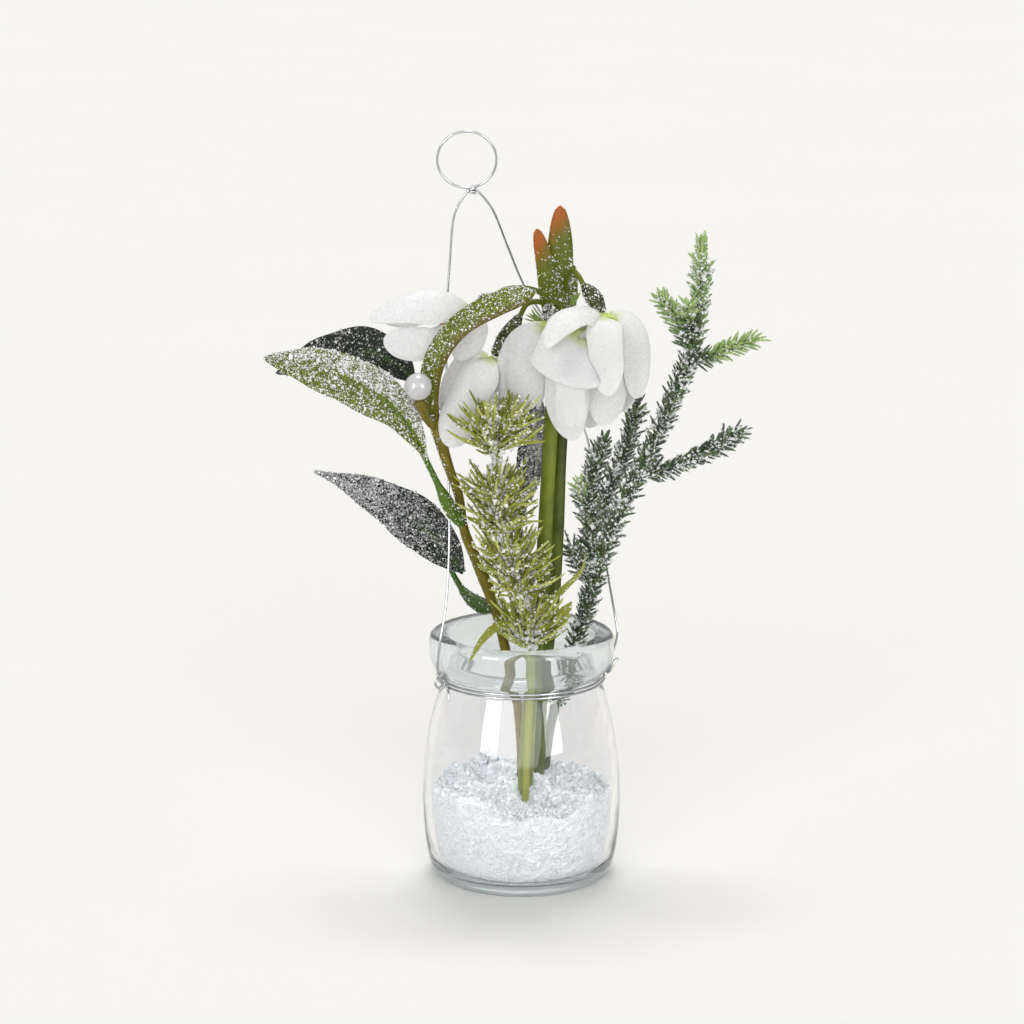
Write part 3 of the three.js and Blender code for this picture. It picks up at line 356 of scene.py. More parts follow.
def broken_chip(rng):
    """A crystal with uneven facets."""
    return CHIP_POINTS * rng.uniform(0.72, 1.15, (len(CHIP_POINTS), 1)), CHIP_FACES


def strew_crystals(places, sizes, rng, finish, form=None):
    """Crystals of four broken forms, or of the one given, at these places."""
    shapes = []
    for kind in range(4):
        chosen = slice(kind, None, 4)
        count = len(places[chosen])
        stretch = rng.uniform(0.7, 1.05, (count, 3)) * sizes[chosen, None]
        tone = rng.random(count)
        turns = any_turns(count, rng)
        shapes.append(set_copies(form or broken_chip(rng), places[chosen], turns, stretch, tone, finish))
    return shapes


def packed_bed(rng):
    """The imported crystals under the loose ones: up the inside of the glass and over the heaped top."""
    angles = np.linspace(0, 2 * math.pi, 96, endpoint=False)
    foot = GLASS_FLOOR + CRYSTAL_GAP
    heights = np.linspace(foot, SNOW_LEVEL - 2.5, 16)
    rings = [np.stack([0 * angles, 0 * angles, foot + 0 * angles], -1)]
    for height in heights:
        radius = inside_radius(height) - CRYSTAL_GAP - rng.uniform(0.05, 0.75, len(angles))
        radius = np.minimum(radius, FLOOR_REACH) if height == foot else radius
        rings.append(np.stack([radius * np.cos(angles), radius * np.sin(angles), height + 0 * angles], -1))
    edge = inside_radius(SNOW_LEVEL - 1) - CRYSTAL_GAP - 0.5
    for share in np.linspace(1, 0, 22):
        x, y = edge * share * np.cos(angles), edge * share * np.sin(angles)
        rough = rng.normal(0, BED_ROUGHNESS, len(angles)) * min(1, 3 * share)
        rings.append(np.stack([x, y, snow_height(x, y) + rough - (1.2 if share == 1 else 0)], -1))
    net = np.array(rings)
    return shape_of(net, net_faces(len(rings), len(angles)), 0.5, 0, False)


wall_angle = rng.uniform(0, 2 * math.pi, WALL_CRYSTALS)
wall_height = rng.uniform(GLASS_FLOOR + 1.3, SNOW_LEVEL + 1.5, WALL_CRYSTALS)
wall_size = 0.28 + 0.8 * rng.random(WALL_CRYSTALS) ** 2
wall_reach = inside_radius(wall_height) - CRYSTAL_GAP - wall_size * 1.1
wall_places = np.stack([wall_reach * np.cos(wall_angle), wall_reach * np.sin(wall_angle), wall_height], -1)
top_reach = (inside_radius(SNOW_LEVEL) - 1.8) * np.sqrt(rng.random(TOP_CRYSTALS))
top_angle = rng.uniform(0, 2 * math.pi, TOP_CRYSTALS)
top_x, top_y = top_reach * np.cos(top_angle), top_reach * np.sin(top_angle)
top_size = 0.45 + 1.5 * rng.random(TOP_CRYSTALS) ** 2
top_places = np.stack([top_x, top_y, snow_height(top_x, top_y) + rng.uniform(-0.3, 0.8, TOP_CRYSTALS)], -1)

# White crystals scatter light inside, which makes the bed glow evenly, with faint grey where it is deep.
# Packed together they show as grains of about 0.9 mm. Part of the lamps' light goes on through them to
# the foot of the jar.
white_ice, tree = new_finish("frosted_acrylic_crystals")
ice_place = add_node(tree, "TexCoord")
ice_grain = add_node(tree, "TexVoronoi", {"Scale": 1 / (0.9 * MM)}, {"Vector": (ice_place, "Object")})
ice_shift = add_node(tree, "Attribute", {"attribute_name": "tone"})
ice_tone = add_node(tree, "Mix", {"data_type": "RGBA", 6: linear("dde4e4"), 7: linear("fbfefe")},
                    {0: (ice_shift, "Fac")})
ice_relief = add_node(tree, "Bump", {"Strength": 0.8, "Distance": 0.4 * MM},
                      {"Height": (ice_grain, "Distance")})
ice_skin = add_node(tree, "BsdfPrincipled", {
    "Roughness": 0.32, "IOR": 1.49, "Subsurface Weight": 0.35, "Subsurface Radius": (1.0, 1.0, 1.0),
    "Subsurface Scale": 1.5 * MM,
}, {"Base Color": (ice_tone, 2), "Normal": (ice_relief, "Normal")})
ice_lit = add_node(tree, "LightPath")
ice_glow = add_node(tree, "BsdfTransparent", {"Color": linear("a6aaac")})
ice_both = add_node(tree, "MixShader", {}, {
    0: (ice_lit, "Is Shadow Ray"), 1: (ice_skin, "BSDF"), 2: (ice_glow, "BSDF"),
})
add_node(tree, "OutputMaterial", {}, {"Surface": (ice_both, "Shader")})

# Clear ones look grey beside the white ones and catch single sparks of the windows. Their scratches are
# too fine to show, so they are drawn 0.9 mm wide.
clear_ice, tree = new_finish("clear_acrylic_crystals")
clear_scratch = add_node(tree, "TexNoise", {"Scale": 1 / (0.9 * MM), "Detail": 3.0})
clear_rough = add_node(tree, "MapRange", {"To Min": 0.08, "To Max": 0.3}, {"Value": (clear_scratch, "Fac")})
clear_body = add_node(tree, "BsdfPrincipled", {
    "Base Color": linear("e4ebee"), "IOR": 1.49, "Transmission Weight": 0.2,
}, {"Roughness": (clear_rough, "Result")})
add_node(tree, "OutputMaterial", {}, {"Surface": (clear_body, "BSDF")})

bed_shapes = [packed_bed(rng)]
bed_shapes += strew_crystals(wall_places, wall_size, rng, 0, (GRAIN_POINTS, GRAIN_FACES))
white_count = TOP_CRYSTALS * 2 // 3
bed_shapes += strew_crystals(top_places[:white_count], top_size[:white_count], rng, 0)
bed_shapes += strew_crystals(top_places[white_count:], top_size[white_count:], rng, 1)
crystals = make_piece("snow_crystal_bed", bed_shapes, [white_ice, clear_ice])
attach(crystals, "root")
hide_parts("snow_crystals")


# Neck and hanger wire. Annealed steel wire with a bright zinc coat, bent by hand: two turns round the
# groove with an eye on each side, and one hanger wire hooked in both eyes and closed in a loop above.
WIRE_RADIUS = 0.4
BINDING_RADIUS = 0.42
BINDING_HEIGHT = 72
BINDING_LOOP = 28.6
EYE_LOOP = 1.9
EYE_REACH = 30.5
LEFT_EYE_ANGLE = math.radians(204)
RIGHT_EYE_ANGLE = math.radians(18)
HANGING_LOOP = 9.9
HANGING_LOOP_LEAN = math.radians(12)
HANGING_LOOP_CENTRE = (-18.4, -2, 250.3)
LEFT_LEG = [(-27.9, -17.6, 87), (-25.8, -14, 100), (-24.7, -7.5, 122), (-25.2, -1.5, 150), (-25.6, 2.2, 178),
            (-25.2, 3, 203), (-24.4, 3, 214), (-22.9, 1.6, 230.4), (-21.1, 1, 235.2), (-18.8, 0.4, 238.6)]
RIGHT_LEG = [(33.2, 4.6, 84.5), (32.6, 6.2, 90), (30, 15, 104), (27.5, 24, 121), (24, 29, 145),
             (17.5, 30, 166), (10, 26, 188), (0.9, 18, 204.6), (-4.7, 12, 218.9), (-10, 4, 233),
             (-14, 1, 238.6)]
TWIST_TOP = (-16.6, 0, 241.2)
TWIST_FOOT_HEIGHT = 238.6
TWIST_RISE = 2.04
TWIST_RADIUS = 1.05
TWIST_TURNS = 2
# Each step of a hook: how far outside the eye it is, its height, and its turn round the jar.
HOOK_STEPS = [(0.6, 74.9, -0.052), (0.1, 73.3, -0.046), (0, 72.2, -0.02), (0, 72.2, 0.02),
              (0.1, 73.3, 0.046), (1.7, 76, 0.055)]
# The loose end under the left eye, as turn, reach and height, and the wound one beside the right eye.
LOOSE_END = [(0.06, 28.8, 71.4), (0.16, 29.8, 69.3), (0.18, 30.2, 66.8)]
WOUND_END_FOOT = np.array([28.6, -1.5, 71.4])
WOUND_END_RUN = np.array([4.6, -0.5, 6.4])
WOUND_END_RADIUS = 0.5
WOUND_END_TURN = 8.4
# How far a rod's rounded end reaches, and how thick it still is there, as shares of its radius.
END_REACH = np.array([0.55, 0.45, 0.2])
END_THICKNESS = np.array([0.02, 0.55, 0.88])


def smooth_line(corners, count):
    """Points spread evenly along a smooth line through the corners."""
    c = np.array(corners, float)
    c = np.vstack([2 * c[0] - c[1], c, 2 * c[-1] - c[-2]])
    s = np.linspace(0, 1, 16, endpoint=False)[:, None]
    stretches = []
    for p0, p1, p2, p3 in zip(c, c[1:], c[2:], c[3:]):
        k0, k1, k2 = (math.sqrt(np.linalg.norm(b - a)) for a, b in ((p0, p1), (p1, p2), (p2, p3)))
        leave = ((p1 - p0) / k0 - (p2 - p0) / (k0 + k1) + (p2 - p1) / k1) * k1
        arrive = ((p2 - p1) / k1 - (p3 - p1) / (k1 + k2) + (p3 - p2) / k2) * k1
        turn = -3 * p1 + 3 * p2 - 2 * leave - arrive
        bend = 2 * p1 - 2 * p2 + leave + arrive
        stretches.append(p1 + leave * s + turn * s ** 2 + bend * s ** 3)
    dense = np.vstack(stretches + [c[-2:-1]])
    run = np.concatenate([[0], np.cumsum(np.linalg.norm(np.diff(dense, axis=0), axis=1))])
    even = np.linspace(0, run[-1], count)
    return np.stack([np.interp(even, run, dense[:, k]) for k in range(3)], -1)


def unit(vectors):
    """The same directions at length one."""
    return vectors / np.maximum(np.linalg.norm(vectors, axis=-1, keepdims=True), 1e-12)


def directions_along(line):
    """For each point of a line its direction, and two sides that turn with it but never twist."""
    along = unit(np.gradient(line, axis=0))
    start = np.eye(3)[np.argmin(np.abs(along[0]))]
    side = unit(np.cross(along[0], start))
    sides = []
    for direction in along:
        side = unit(side - direction * (side @ direction))
        sides.append(side)
    sides = np.array(sides)
    return along, sides, np.cross(along, sides)


def draw_rod(line, radii, around, tone=0.0, finish=0):
    """A round rod along a line, with rounded ends. The radii are spread evenly from end to end."""
    radii = np.interp(np.linspace(0, 1, len(line)), np.linspace(0, 1, len(radii)), radii)
    along, side, face = directions_along(line)
    first, last = line[0], line[-1]
    first_cap = [first - along[0] * radii[0] * reach for reach in END_REACH]
    last_cap = [last + along[-1] * radii[-1] * reach for reach in END_REACH[::-1]]
    line = np.vstack(first_cap + [line] + last_cap)
    radii = np.concatenate([radii[0] * END_THICKNESS, radii, radii[-1] * END_THICKNESS[::-1]])
    side = np.vstack([side[:1].repeat(3, 0), side, side[-1:].repeat(3, 0)])
    face = np.vstack([face[:1].repeat(3, 0), face, face[-1:].repeat(3, 0)])
    angles = np.linspace(0, 2 * math.pi, around, endpoint=False)[None, :, None]
    outward = side[:, None] * np.cos(angles) + face[:, None] * np.sin(angles)
    net = line[:, None] + radii[:, None, None] * outward
    if np.ndim(tone):
        tone = np.interp(np.linspace(0, 1, len(line)), np.linspace(0, 1, len(tone)), tone).repeat(around)
    return shape_of(net, net_faces(len(line), around), tone, finish)


def bend_loop(centre, radius, wire, across, up, count):
    """A closed ring of wire in the plane of two directions."""
    around = 8
    angles = np.linspace(0, 2 * math.pi, count, endpoint=False)[:, None]
    outward = np.cos(angles) * np.array(across) + np.sin(angles) * np.array(up)
    line = np.array(centre) + radius * outward
    through = unit(np.cross(across, up))
    turns = np.linspace(0, 2 * math.pi, around, endpoint=False)[None, :, None]
    net = line[:, None] + wire * (outward[:, None] * np.cos(turns) + through * np.sin(turns))
    net = np.concatenate([net, net[:1]])
    return shape_of(net, net_faces(count + 1, around))


def on_binding(angle, radius, height=BINDING_HEIGHT):
    """A point beside the neck."""
    return radius * math.cos(angle), radius * math.sin(angle), height


def binding_eye(angle):
    """The upright eye that a hanger leg hooks into."""
    across = (math.cos(angle), math.sin(angle), 0)
    return bend_loop(on_binding(angle, EYE_REACH), EYE_LOOP, BINDING_RADIUS, across, (0, 0, 1), 24)


def hook_through(angle, side):
    """The hook passes through the middle of the eye and turns up on both sides of it."""
    return [on_binding(angle + side * turn, EYE_REACH + out, height) for out, height, turn in HOOK_STEPS]


run = np.linspace(0, 1, 37)[:, None]
winding = WOUND_END_RADIUS * np.hstack([0 * run, np.sin(WOUND_END_TURN * run), np.cos(WOUND_END_TURN * run)])
wound_end = WOUND_END_FOOT + WOUND_END_RUN * run + winding
loose_end = [on_binding(LEFT_EYE_ANGLE + turn, reach, height) for turn, reach, height in LOOSE_END]
level = ((1, 0, 0), (0, 1, 0))
binding_shapes = [
    bend_loop((0, 0, BINDING_HEIGHT), BINDING_LOOP, BINDING_RADIUS, *level, 96),
    bend_loop((0, 0, BINDING_HEIGHT - 1.3), BINDING_LOOP, BINDING_RADIUS, *level, 96),
    binding_eye(LEFT_EYE_ANGLE),
    binding_eye(RIGHT_EYE_ANGLE),
    draw_rod(wound_end, [0.6, 0.55], 8),
    draw_rod(smooth_line(loose_end, 14), [BINDING_RADIUS], 8),
]
run = np.linspace(0, 1, 61)
turned = TWIST_TURNS * 2 * math.pi * run
twist = np.stack([
    TWIST_TOP[0] + TWIST_RADIUS * np.cos(turned), TWIST_RADIUS * np.sin(turned),
    TWIST_FOOT_HEIGHT + TWIST_RISE * run,
], -1)
left_leg = [*hook_through(LEFT_EYE_ANGLE, 1), *LEFT_LEG, TWIST_TOP]
right_leg = [*hook_through(RIGHT_EYE_ANGLE, -1), *RIGHT_LEG, TWIST_TOP]
loop_up = (0, -math.sin(HANGING_LOOP_LEAN), math.cos(HANGING_LOOP_LEAN))
hanger_shapes = [
    draw_rod(smooth_line(left_leg, 120), [WIRE_RADIUS], 9),
    draw_rod(smooth_line(right_leg, 140), [WIRE_RADIUS], 9),
    draw_rod(twist, [WIRE_RADIUS], 8),
    bend_loop(HANGING_LOOP_CENTRE, HANGING_LOOP, WIRE_RADIUS, (1, 0, 0), loop_up, 72),
]

# Bright zinc mirrors the room softly in long thin streaks, duller in patches of about 2.5 mm where the
# coat has bloomed.
zinc, tree = new_finish("zinc_coated_steel_wire")
zinc_place = add_node(tree, "TexCoord")
zinc_bloom = add_node(tree, "TexNoise", {"Scale": 1 / (2.5 * MM), "Detail": 3.0},
                      {"Vector": (zinc_place, "Object")})
zinc_rough = add_node(tree, "MapRange", {"To Min": 0.15, "To Max": 0.32}, {"Value": (zinc_bloom, "Fac")})
zinc_tone = add_node(tree, "Mix", {"data_type": "RGBA", 6: linear("96989c"), 7: linear("cdcfd2")},
                     {0: (zinc_bloom, "Fac")})
zinc_relief = add_node(tree, "Bump", {"Strength": 0.2, "Distance": 0.1 * MM},
                       {"Height": (zinc_bloom, "Fac")})
zinc_skin = add_node(tree, "BsdfPrincipled", {"Metallic": 1.0}, {
    "Base Color": (zinc_tone, 2), "Roughness": (zinc_rough, "Result"), "Normal": (zinc_relief, "Normal"),
})
add_node(tree, "OutputMaterial", {}, {"Surface": (zinc_skin, "BSDF")})

binding = make_piece("neck_binding", binding_shapes, [zinc])
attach(binding, "root")
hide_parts("binding_wire")
hanger = make_piece("hanger_with_loop", hanger_shapes, [zinc])
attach(hanger, "root")
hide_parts("hanger_wire")


# Snowdrop stems. Two soft polyethylene stems moulded over wire, satin olive green, pushed down into
# the crystals. Their upper ends go into the sheath, with a little frost that has run down from it.
FRONT_STEM = [(1, 0, 12), (1.4, -0.5, 33), (3, -3, 63), (6.5, -3, 99), (8, -3, 123.5), (9.5, -2, 151.5),
              (10.8, 0, 172), (11.8, 2, 189.5)]
BACK_STEM = [(5, 7, 12), (6.4, 7, 53), (8.8, 7, 78.5), (11, 6.5, 98), (12.3, 5.5, 121.5), (13.3, 5.5, 150),
             (15, 6.2, 170.5), (15.5, 7, 186)]
STEM_FROST_FROM = 160
STEM_FROST_FADE = 25


def patchy(places, width):
    """Between 0 and 1, in soft patches of about this width."""
    x, y, z = np.asarray(places).T / width
    return 0.5 + 0.5 * np.sin(2.7 * x + 2 * np.sin(1.9 * z)) * np.sin(2.3 * y + 2.9 * z + np.sin(2.1 * x))


def frost_on(shape, count, size, rng, finish, share=None, sunk=0.15, patch=3):
    """Frost chips glued over a shape's faces in loose patches, more of them where its share is higher."""
    corners = shape.points[shape.faces]
    slant = np.cross(corners[:, 2] - corners[:, 0], corners[:, 3] - corners[:, 1]) / 2
    area = np.linalg.norm(slant, axis=1)
    weight = area * (0.35 + patchy(corners.mean(1), patch))
    weight = weight * (1 if share is None else share(corners.mean(1), unit(slant)))
    chosen = rng.choice(len(area), count, p=weight / weight.sum())
    u, v = rng.random((2, count, 1))
    a, b, c, d = (corners[chosen, k] for k in range(4))
    places = (a * (1 - u) + b * u) * (1 - v) + (d * (1 - u) + c * u) * v
    sizes = size / 2 * rng.lognormal(0, 0.42, (count, 1)) * rng.uniform(0.6, 1.2, (count, 3))
    places = places + unit(slant[chosen]) * sizes.min(1, keepdims=True) * (0.9 - sunk)
    turns = any_turns(count, rng)
    return set_copies((GRAIN_POINTS, GRAIN_FACES), places, turns, sizes, rng.random(count), finish)


# Chips of clear and white acrylic stuck on with lacquer: some flash white, some stay grey.
frost, tree = new_finish("glued_acrylic_frost")
frost_shift = add_node(tree, "Attribute", {"attribute_name": "tone"})
frost_tone = add_node(tree, "Mix", {"data_type": "RGBA", 6: linear("dddfe1"), 7: linear("ffffff")},
                      {0: (frost_shift, "Fac")})
frost_rough = add_node(tree, "MapRange", {"To Min": 0.2, "To Max": 0.5}, {"Value": (frost_shift, "Fac")})
frost_skin = add_node(tree, "BsdfPrincipled", {"IOR": 1.49}, {
    "Base Color": (frost_tone, 2), "Roughness": (frost_rough, "Result"),
})
add_node(tree, "OutputMaterial", {}, {"Surface": (frost_skin, "BSDF")})


def moulded_green(name, shade, light, grain_mm, roughness):
    """Moulded polyethylene in two greens that drift into each other, with a soft satin shine. The pores
    of the mould are too fine to show, so they are drawn 0.6 mm wide."""
    finish, tree = new_finish(name)
    place = add_node(tree, "TexCoord")
    drift = add_node(tree, "TexNoise", {"Scale": 1 / (grain_mm * MM), "Detail": 4.0},
                     {"Vector": (place, "Object")})
    spread = add_node(tree, "MapRange", {"From Min": 0.35, "From Max": 0.65}, {"Value": (drift, "Fac")})
    tone = add_node(tree, "Mix", {"data_type": "RGBA", 6: linear(shade), 7: linear(light)},
                    {0: (spread, "Result")})
    pores = add_node(tree, "TexNoise", {"Scale": 1 / (0.6 * MM), "Detail": 2.0},
                     {"Vector": (place, "Object")})
    relief = add_node(tree, "Bump", {"Strength": 0.25, "Distance": 0.1 * MM}, {"Height": (pores, "Fac")})
    shine = add_node(tree, "MapRange", {"To Min": roughness - 0.08, "To Max": roughness + 0.08},
                     {"Value": (pores, "Fac")})
    skin = add_node(tree, "BsdfPrincipled", {"IOR": 1.5, "Specular IOR Level": 0.25}, {
        "Base Color": (tone, 2), "Roughness": (shine, "Result"), "Normal": (relief, "Normal"),
    })
    add_node(tree, "OutputMaterial", {}, {"Surface": (skin, "BSDF")})
    return finish


stem_front_green = moulded_green("moulded_polyethylene_stem", "5e6c18", "7e8a2a", 9, 0.45)
# The back stem is the same olive polyethylene as the front one. Its darker greens are painted shade, for the
# shadow it stands in behind the front stem.
stem_back_painted_shade_green = moulded_green("moulded_polyethylene_stem_painted_shade", "3c4810", "5d6b1e", 9, 0.5)


def near_sheath(places, normals):
    """Frost thins out down the stem."""
    return np.clip((places[:, 2] - STEM_FROST_FROM) / STEM_FROST_FADE, 0, 1) ** 2


rng = np.random.default_rng(5)
for name, node, corners, radii, green in (
    ("stem_front", "snowdrop_stem_front", FRONT_STEM, [2.6, 2.6, 2.5, 2.3], stem_front_green),
    ("stem_back", "snowdrop_stem_back", BACK_STEM, [2.4, 2.4, 2.3, 2.1], stem_back_painted_shade_green),
):
    rod = draw_rod(smooth_line(corners, 70), radii, 28)
    chips = frost_on(rod, 130, 0.45, rng, 1, near_sheath)
    stem = make_piece(name, [rod, chips], [green, frost])
    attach(stem, "root")
    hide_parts(node)


# Sheath. Moulded with the snowdrops: it grips both stems, splits into three leaf tips, two of them
# sprayed orange-red, and sends out four thin stalks that each end in a dark seed case above a bloom.
SHEATH_ARMS = [
    ([(11.7, 1.6, 186), (11.9, 2.1, 192), (12.3, 2.3, 199), (13, 3, 207)], [2.5, 3.1, 3.2, 2.2]),
    ([(15.4, 6.9, 183), (15.2, 6.6, 189), (14.9, 5.8, 195), (13.8, 4, 202)], [2.3, 2.6, 2.6, 1.9]),
]
SHEATH_TIPS = [
    {"line": [(12, 2, 194), (12.6, 1.0, 208), (13.1, 0.6, 220), (13, 1.2, 234.4)],
     "width": 9.8, "widest": 0.5, "fold": 0.5, "orange": 0.66},
    {"line": [(10.6, 0.8, 193), (9.6, -0.8, 204), (8, -1.6, 215), (5, -2, 227)],
     "width": 7, "widest": 0.4, "fold": 0.55, "orange": 0.6},
    {"line": [(15, 5.6, 193), (16.2, 4.8, 203), (17.2, 4.4, 214)],
     "width": 5.8, "widest": 0.5, "fold": 0.5, "orange": 1.2},
]
CHIPS_PER_MM_OF_WIDTH = 62
STALKS = [
    [(14.4, 3.2, 203), (15.2, -1, 210), (17, -7, 213.6), (19.2, -12, 212.2), (20.6, -14, 209.6)],
    [(12.6, 1.2, 199), (11, -3, 202.4), (9.6, -6.4, 202)],
    [(10.5, 1, 199), (6, -1.5, 202.2), (1.8, -2.6, 201.6), (-0.8, -3.8, 197.4)],
    [(10.6, 2.4, 202.6), (3, 5, 205.6), (-5, 2.5, 206), (-10, -3, 204.2)],
]
SEED_CASES = [
    [(20.6, -14, 209.6), (24, -16, 205.8), (26.6, -17.5, 201.6)],
    [(9.6, -6.4, 202), (8.6, -7.4, 199.6), (7.9, -7.9, 197.2)],
    [(-0.8, -3.8, 197.4), (-5, -5.6, 191), (-9, -6.6, 185.4)],
    [(-10, -3, 204.2), (-12.4, -5.4, 202.8), (-14.8, -7.4, 201.4)],
]
SEED_CASE_RADII = (1.3, 2.3, 2.8, 2.9, 2.4, 1.6)
SEED_CASE_SIZES = (1, 0.6, 1, 0.9)
SHEATH_SPRIGS = [
    {"root": (7.6, 0.4, 194.6), "way": (-0.75, -0.3, 0.6), "length": 7.5, "count": 12},
    {"root": (17, 4.4, 200.5), "way": (0.25, -0.2, 1), "length": 5, "count": 7},
    {"root": (7.6, -0.8, 210.6), "way": (-0.6, -0.2, 0.8), "length": 3.6, "count": 6},
]
# Needles bend towards this direction, which leans a little so that none of them points along it.
NEARLY_UP = (0.31, 0.22, 1.0)


def cut_blade(line, half_widths, facing, lift, thickness, across, tone, finish=0):
    """A petal or a leaf: a closed sheet along a line, thin at its edges. Facing gives the way its face
    looks. For u across it and t along it, lift gives how far the sheet rises, and tone its tone."""
    count = len(line)
    along = unit(np.gradient(line, axis=0))
    face = np.broadcast_to(facing, (count, 3)).astype(float)
    face = unit(face - along * (face * along).sum(1, keepdims=True))
    side = np.cross(along, face)
    u = np.sin(np.linspace(-math.pi / 2, math.pi / 2, across + 1))[None]
    t = np.linspace(0, 1, count)[:, None]
    half = np.asarray(half_widths).reshape(-1, 1)
    net = line[:, None] + side[:, None] * (u * half)[..., None] + face[:, None] * lift(u, t)[..., None]
    normal = np.cross(np.gradient(net, axis=1), np.gradient(net, axis=0))
    normal = np.where(np.linalg.norm(normal, axis=2, keepdims=True) > 1e-7, unit(normal), face[:, None])
    depth = thickness / 2 * np.sqrt(np.clip(1.02 - u ** 6, 0.02, 1)) * np.minimum(1, 0.25 + half / thickness)
    front = net + normal * depth[..., None]
    back = net - normal * depth[..., None]
    rings = np.concatenate([front, back[:, ::-1]], axis=1)
    tones = tone(u, t) + 0 * u * t
    tones = np.concatenate([tones, tones[:, ::-1]], axis=1)
    return shape_of(rings, net_faces(count, rings.shape[1]), tones, finish)


def bristle_form(profile, around, flat=1.0):
    """A needle of length and radius one along z, its thickness given by (place, share) pairs."""
    angles = np.linspace(0, 2 * math.pi, around, endpoint=False)
    net = np.array([[(share * math.cos(a), flat * share * math.sin(a), place) for a in angles]
                    for place, share in profile])
    return net.reshape(-1, 3), net_faces(len(profile), around)


def set_needles(form, roots, ways, lengths, radii, bends, tone, finish=0):
    """Needles from their roots, each bent upwards by its own amount."""
    points, faces = form
    sides = unit(np.cross(NEARLY_UP, ways))
    rises = np.cross(ways, sides)
    x = points[None, :, 0] * radii[:, None]
    y = points[None, :, 1] * radii[:, None] + bends[:, None] * points[None, :, 2] ** 2
    z = points[None, :, 2] * lengths[:, None]
    made = (roots[:, None] + x[..., None] * sides[:, None] + y[..., None] * rises[:, None]
            + z[..., None] * ways[:, None])
    starts = np.arange(len(roots))[:, None, None] * len(points)
    tones = (tone[:, None] + 0 * points[None, :, 2]).ravel()
    return shape_of(made, (faces[None] + starts).reshape(-1, faces.shape[1]), tones, finish)


def sheath_tip(line, width, widest, fold, orange):
    """A leaf tip, folded lengthwise like a gutter. Its tone is how orange it is."""
    t = np.linspace(0, 1, 30)
    rise = np.minimum(0.55 + 0.45 * np.sin(math.pi / 2 * np.minimum(t / widest, 1)), 1)
    half = width / 2 * rise * np.sqrt(np.clip(1 - t ** 3.4, 0.0005, 1))
    return cut_blade(
        smooth_line(line, len(t)), half, (0.1, -1, 0.1),
        lambda u, t: -fold * width / 2 * u ** 2 * (1 - 0.6 * t) + 0.12 * np.cos(9 * u),
        0.9, 16, lambda u, t: np.clip((t - orange) / 0.3 - 0.25 * u, 0, 1),
    )


# Green polyethylene with the tips airbrushed orange-red, so the change of colour is soft and mottled.
sheath_green, tree = new_finish("airbrushed_polyethylene_sheath")
sheath_place = add_node(tree, "TexCoord")
sheath_drift = add_node(tree, "TexNoise", {"Scale": 1 / (3 * MM), "Detail": 4.0},
                        {"Vector": (sheath_place, "Object")})
sheath_body = add_node(tree, "Mix", {"data_type": "RGBA", 6: linear("464f08"), 7: linear("727c1a")},
                       {0: (sheath_drift, "Fac")})
spray = add_node(tree, "Attribute", {"attribute_name": "tone"})
spray_mottle = add_node(tree, "Math", {"operation": "MULTIPLY_ADD", 1: 0.5, 2: -0.25},
                        {0: (sheath_drift, "Fac")})
spray_edge = add_node(tree, "Math", {"operation": "ADD"}, {0: (spray, "Fac"), 1: (spray_mottle, "Value")})
spray_cover = add_node(tree, "MapRange", {
    "From Min": 0.05, "From Max": 0.6, "interpolation_type": "SMOOTHSTEP",
}, {"Value": (spray_edge, "Value")})
spray_heart = add_node(tree, "MapRange", {"From Min": 0.45, "From Max": 0.95},
                       {"Value": (spray_edge, "Value")})
spray_tone = add_node(tree, "Mix", {"data_type": "RGBA", 6: linear("7e6410"), 7: linear("ac5a1e")},
                      {0: (spray_heart, "Result")})
sheath_tone = add_node(tree, "Mix", {"data_type": "RGBA"}, {
    0: (spray_cover, "Result"), 6: (sheath_body, 2), 7: (spray_tone, 2),
})
sheath_relief = add_node(tree, "Bump", {"Strength": 0.3, "Distance": 0.2 * MM},
                         {"Height": (sheath_drift, "Fac")})
sheath_skin = add_node(tree, "BsdfPrincipled", {"Roughness": 0.5, "IOR": 1.5, "Specular IOR Level": 0.2}, {
    "Base Color": (sheath_tone, 2), "Normal": (sheath_relief, "Normal"),
})
add_node(tree, "OutputMaterial", {}, {"Surface": (sheath_skin, "BSDF")})
case_green = moulded_green("moulded_dark_seed_case", "2a3010", "4a5424", 2.5, 0.5)
sprig_green = moulded_green("moulded_light_green_sprigs", "7d9a3c", "b3c878", 1.5, 0.5)


def low_and_right(places, normals):
    """The tips keep their frost low down and towards their right edge."""
    low = np.clip((231 - places[:, 2]) / 22, 0, 1)
    return low * np.clip(0.5 + (places[:, 0] - 9) / 6, 0.3, 1.4)


rng = np.random.default_rng(7)
sheath_shapes = []
for line, radii in SHEATH_ARMS:
    arm = draw_rod(smooth_line(line, 24), radii, 20)
    sheath_shapes += [arm, frost_on(arm, 300, 0.45, rng, 2)]
for tip in SHEATH_TIPS:
    leaf_tip = sheath_tip(**tip)
    amount = int(CHIPS_PER_MM_OF_WIDTH * tip["width"])
    sheath_shapes += [leaf_tip, frost_on(leaf_tip, amount, 0.42, rng, 2, low_and_right)]
for line in STALKS:
    sheath_shapes.append(draw_rod(smooth_line(line, 26), [0.95, 0.9, 0.85], 12))
for line, size in zip(SEED_CASES, SEED_CASE_SIZES):
    case = draw_rod(smooth_line(line, 16), [size * radius for radius in SEED_CASE_RADII], 18, finish=1)
    sheath_shapes += [case, frost_on(case, 300, 0.42, rng, 2)]
sprig_needle = bristle_form([(0, 0.7), (0.4, 1), (0.8, 0.8), (1, 0.1)], 5)
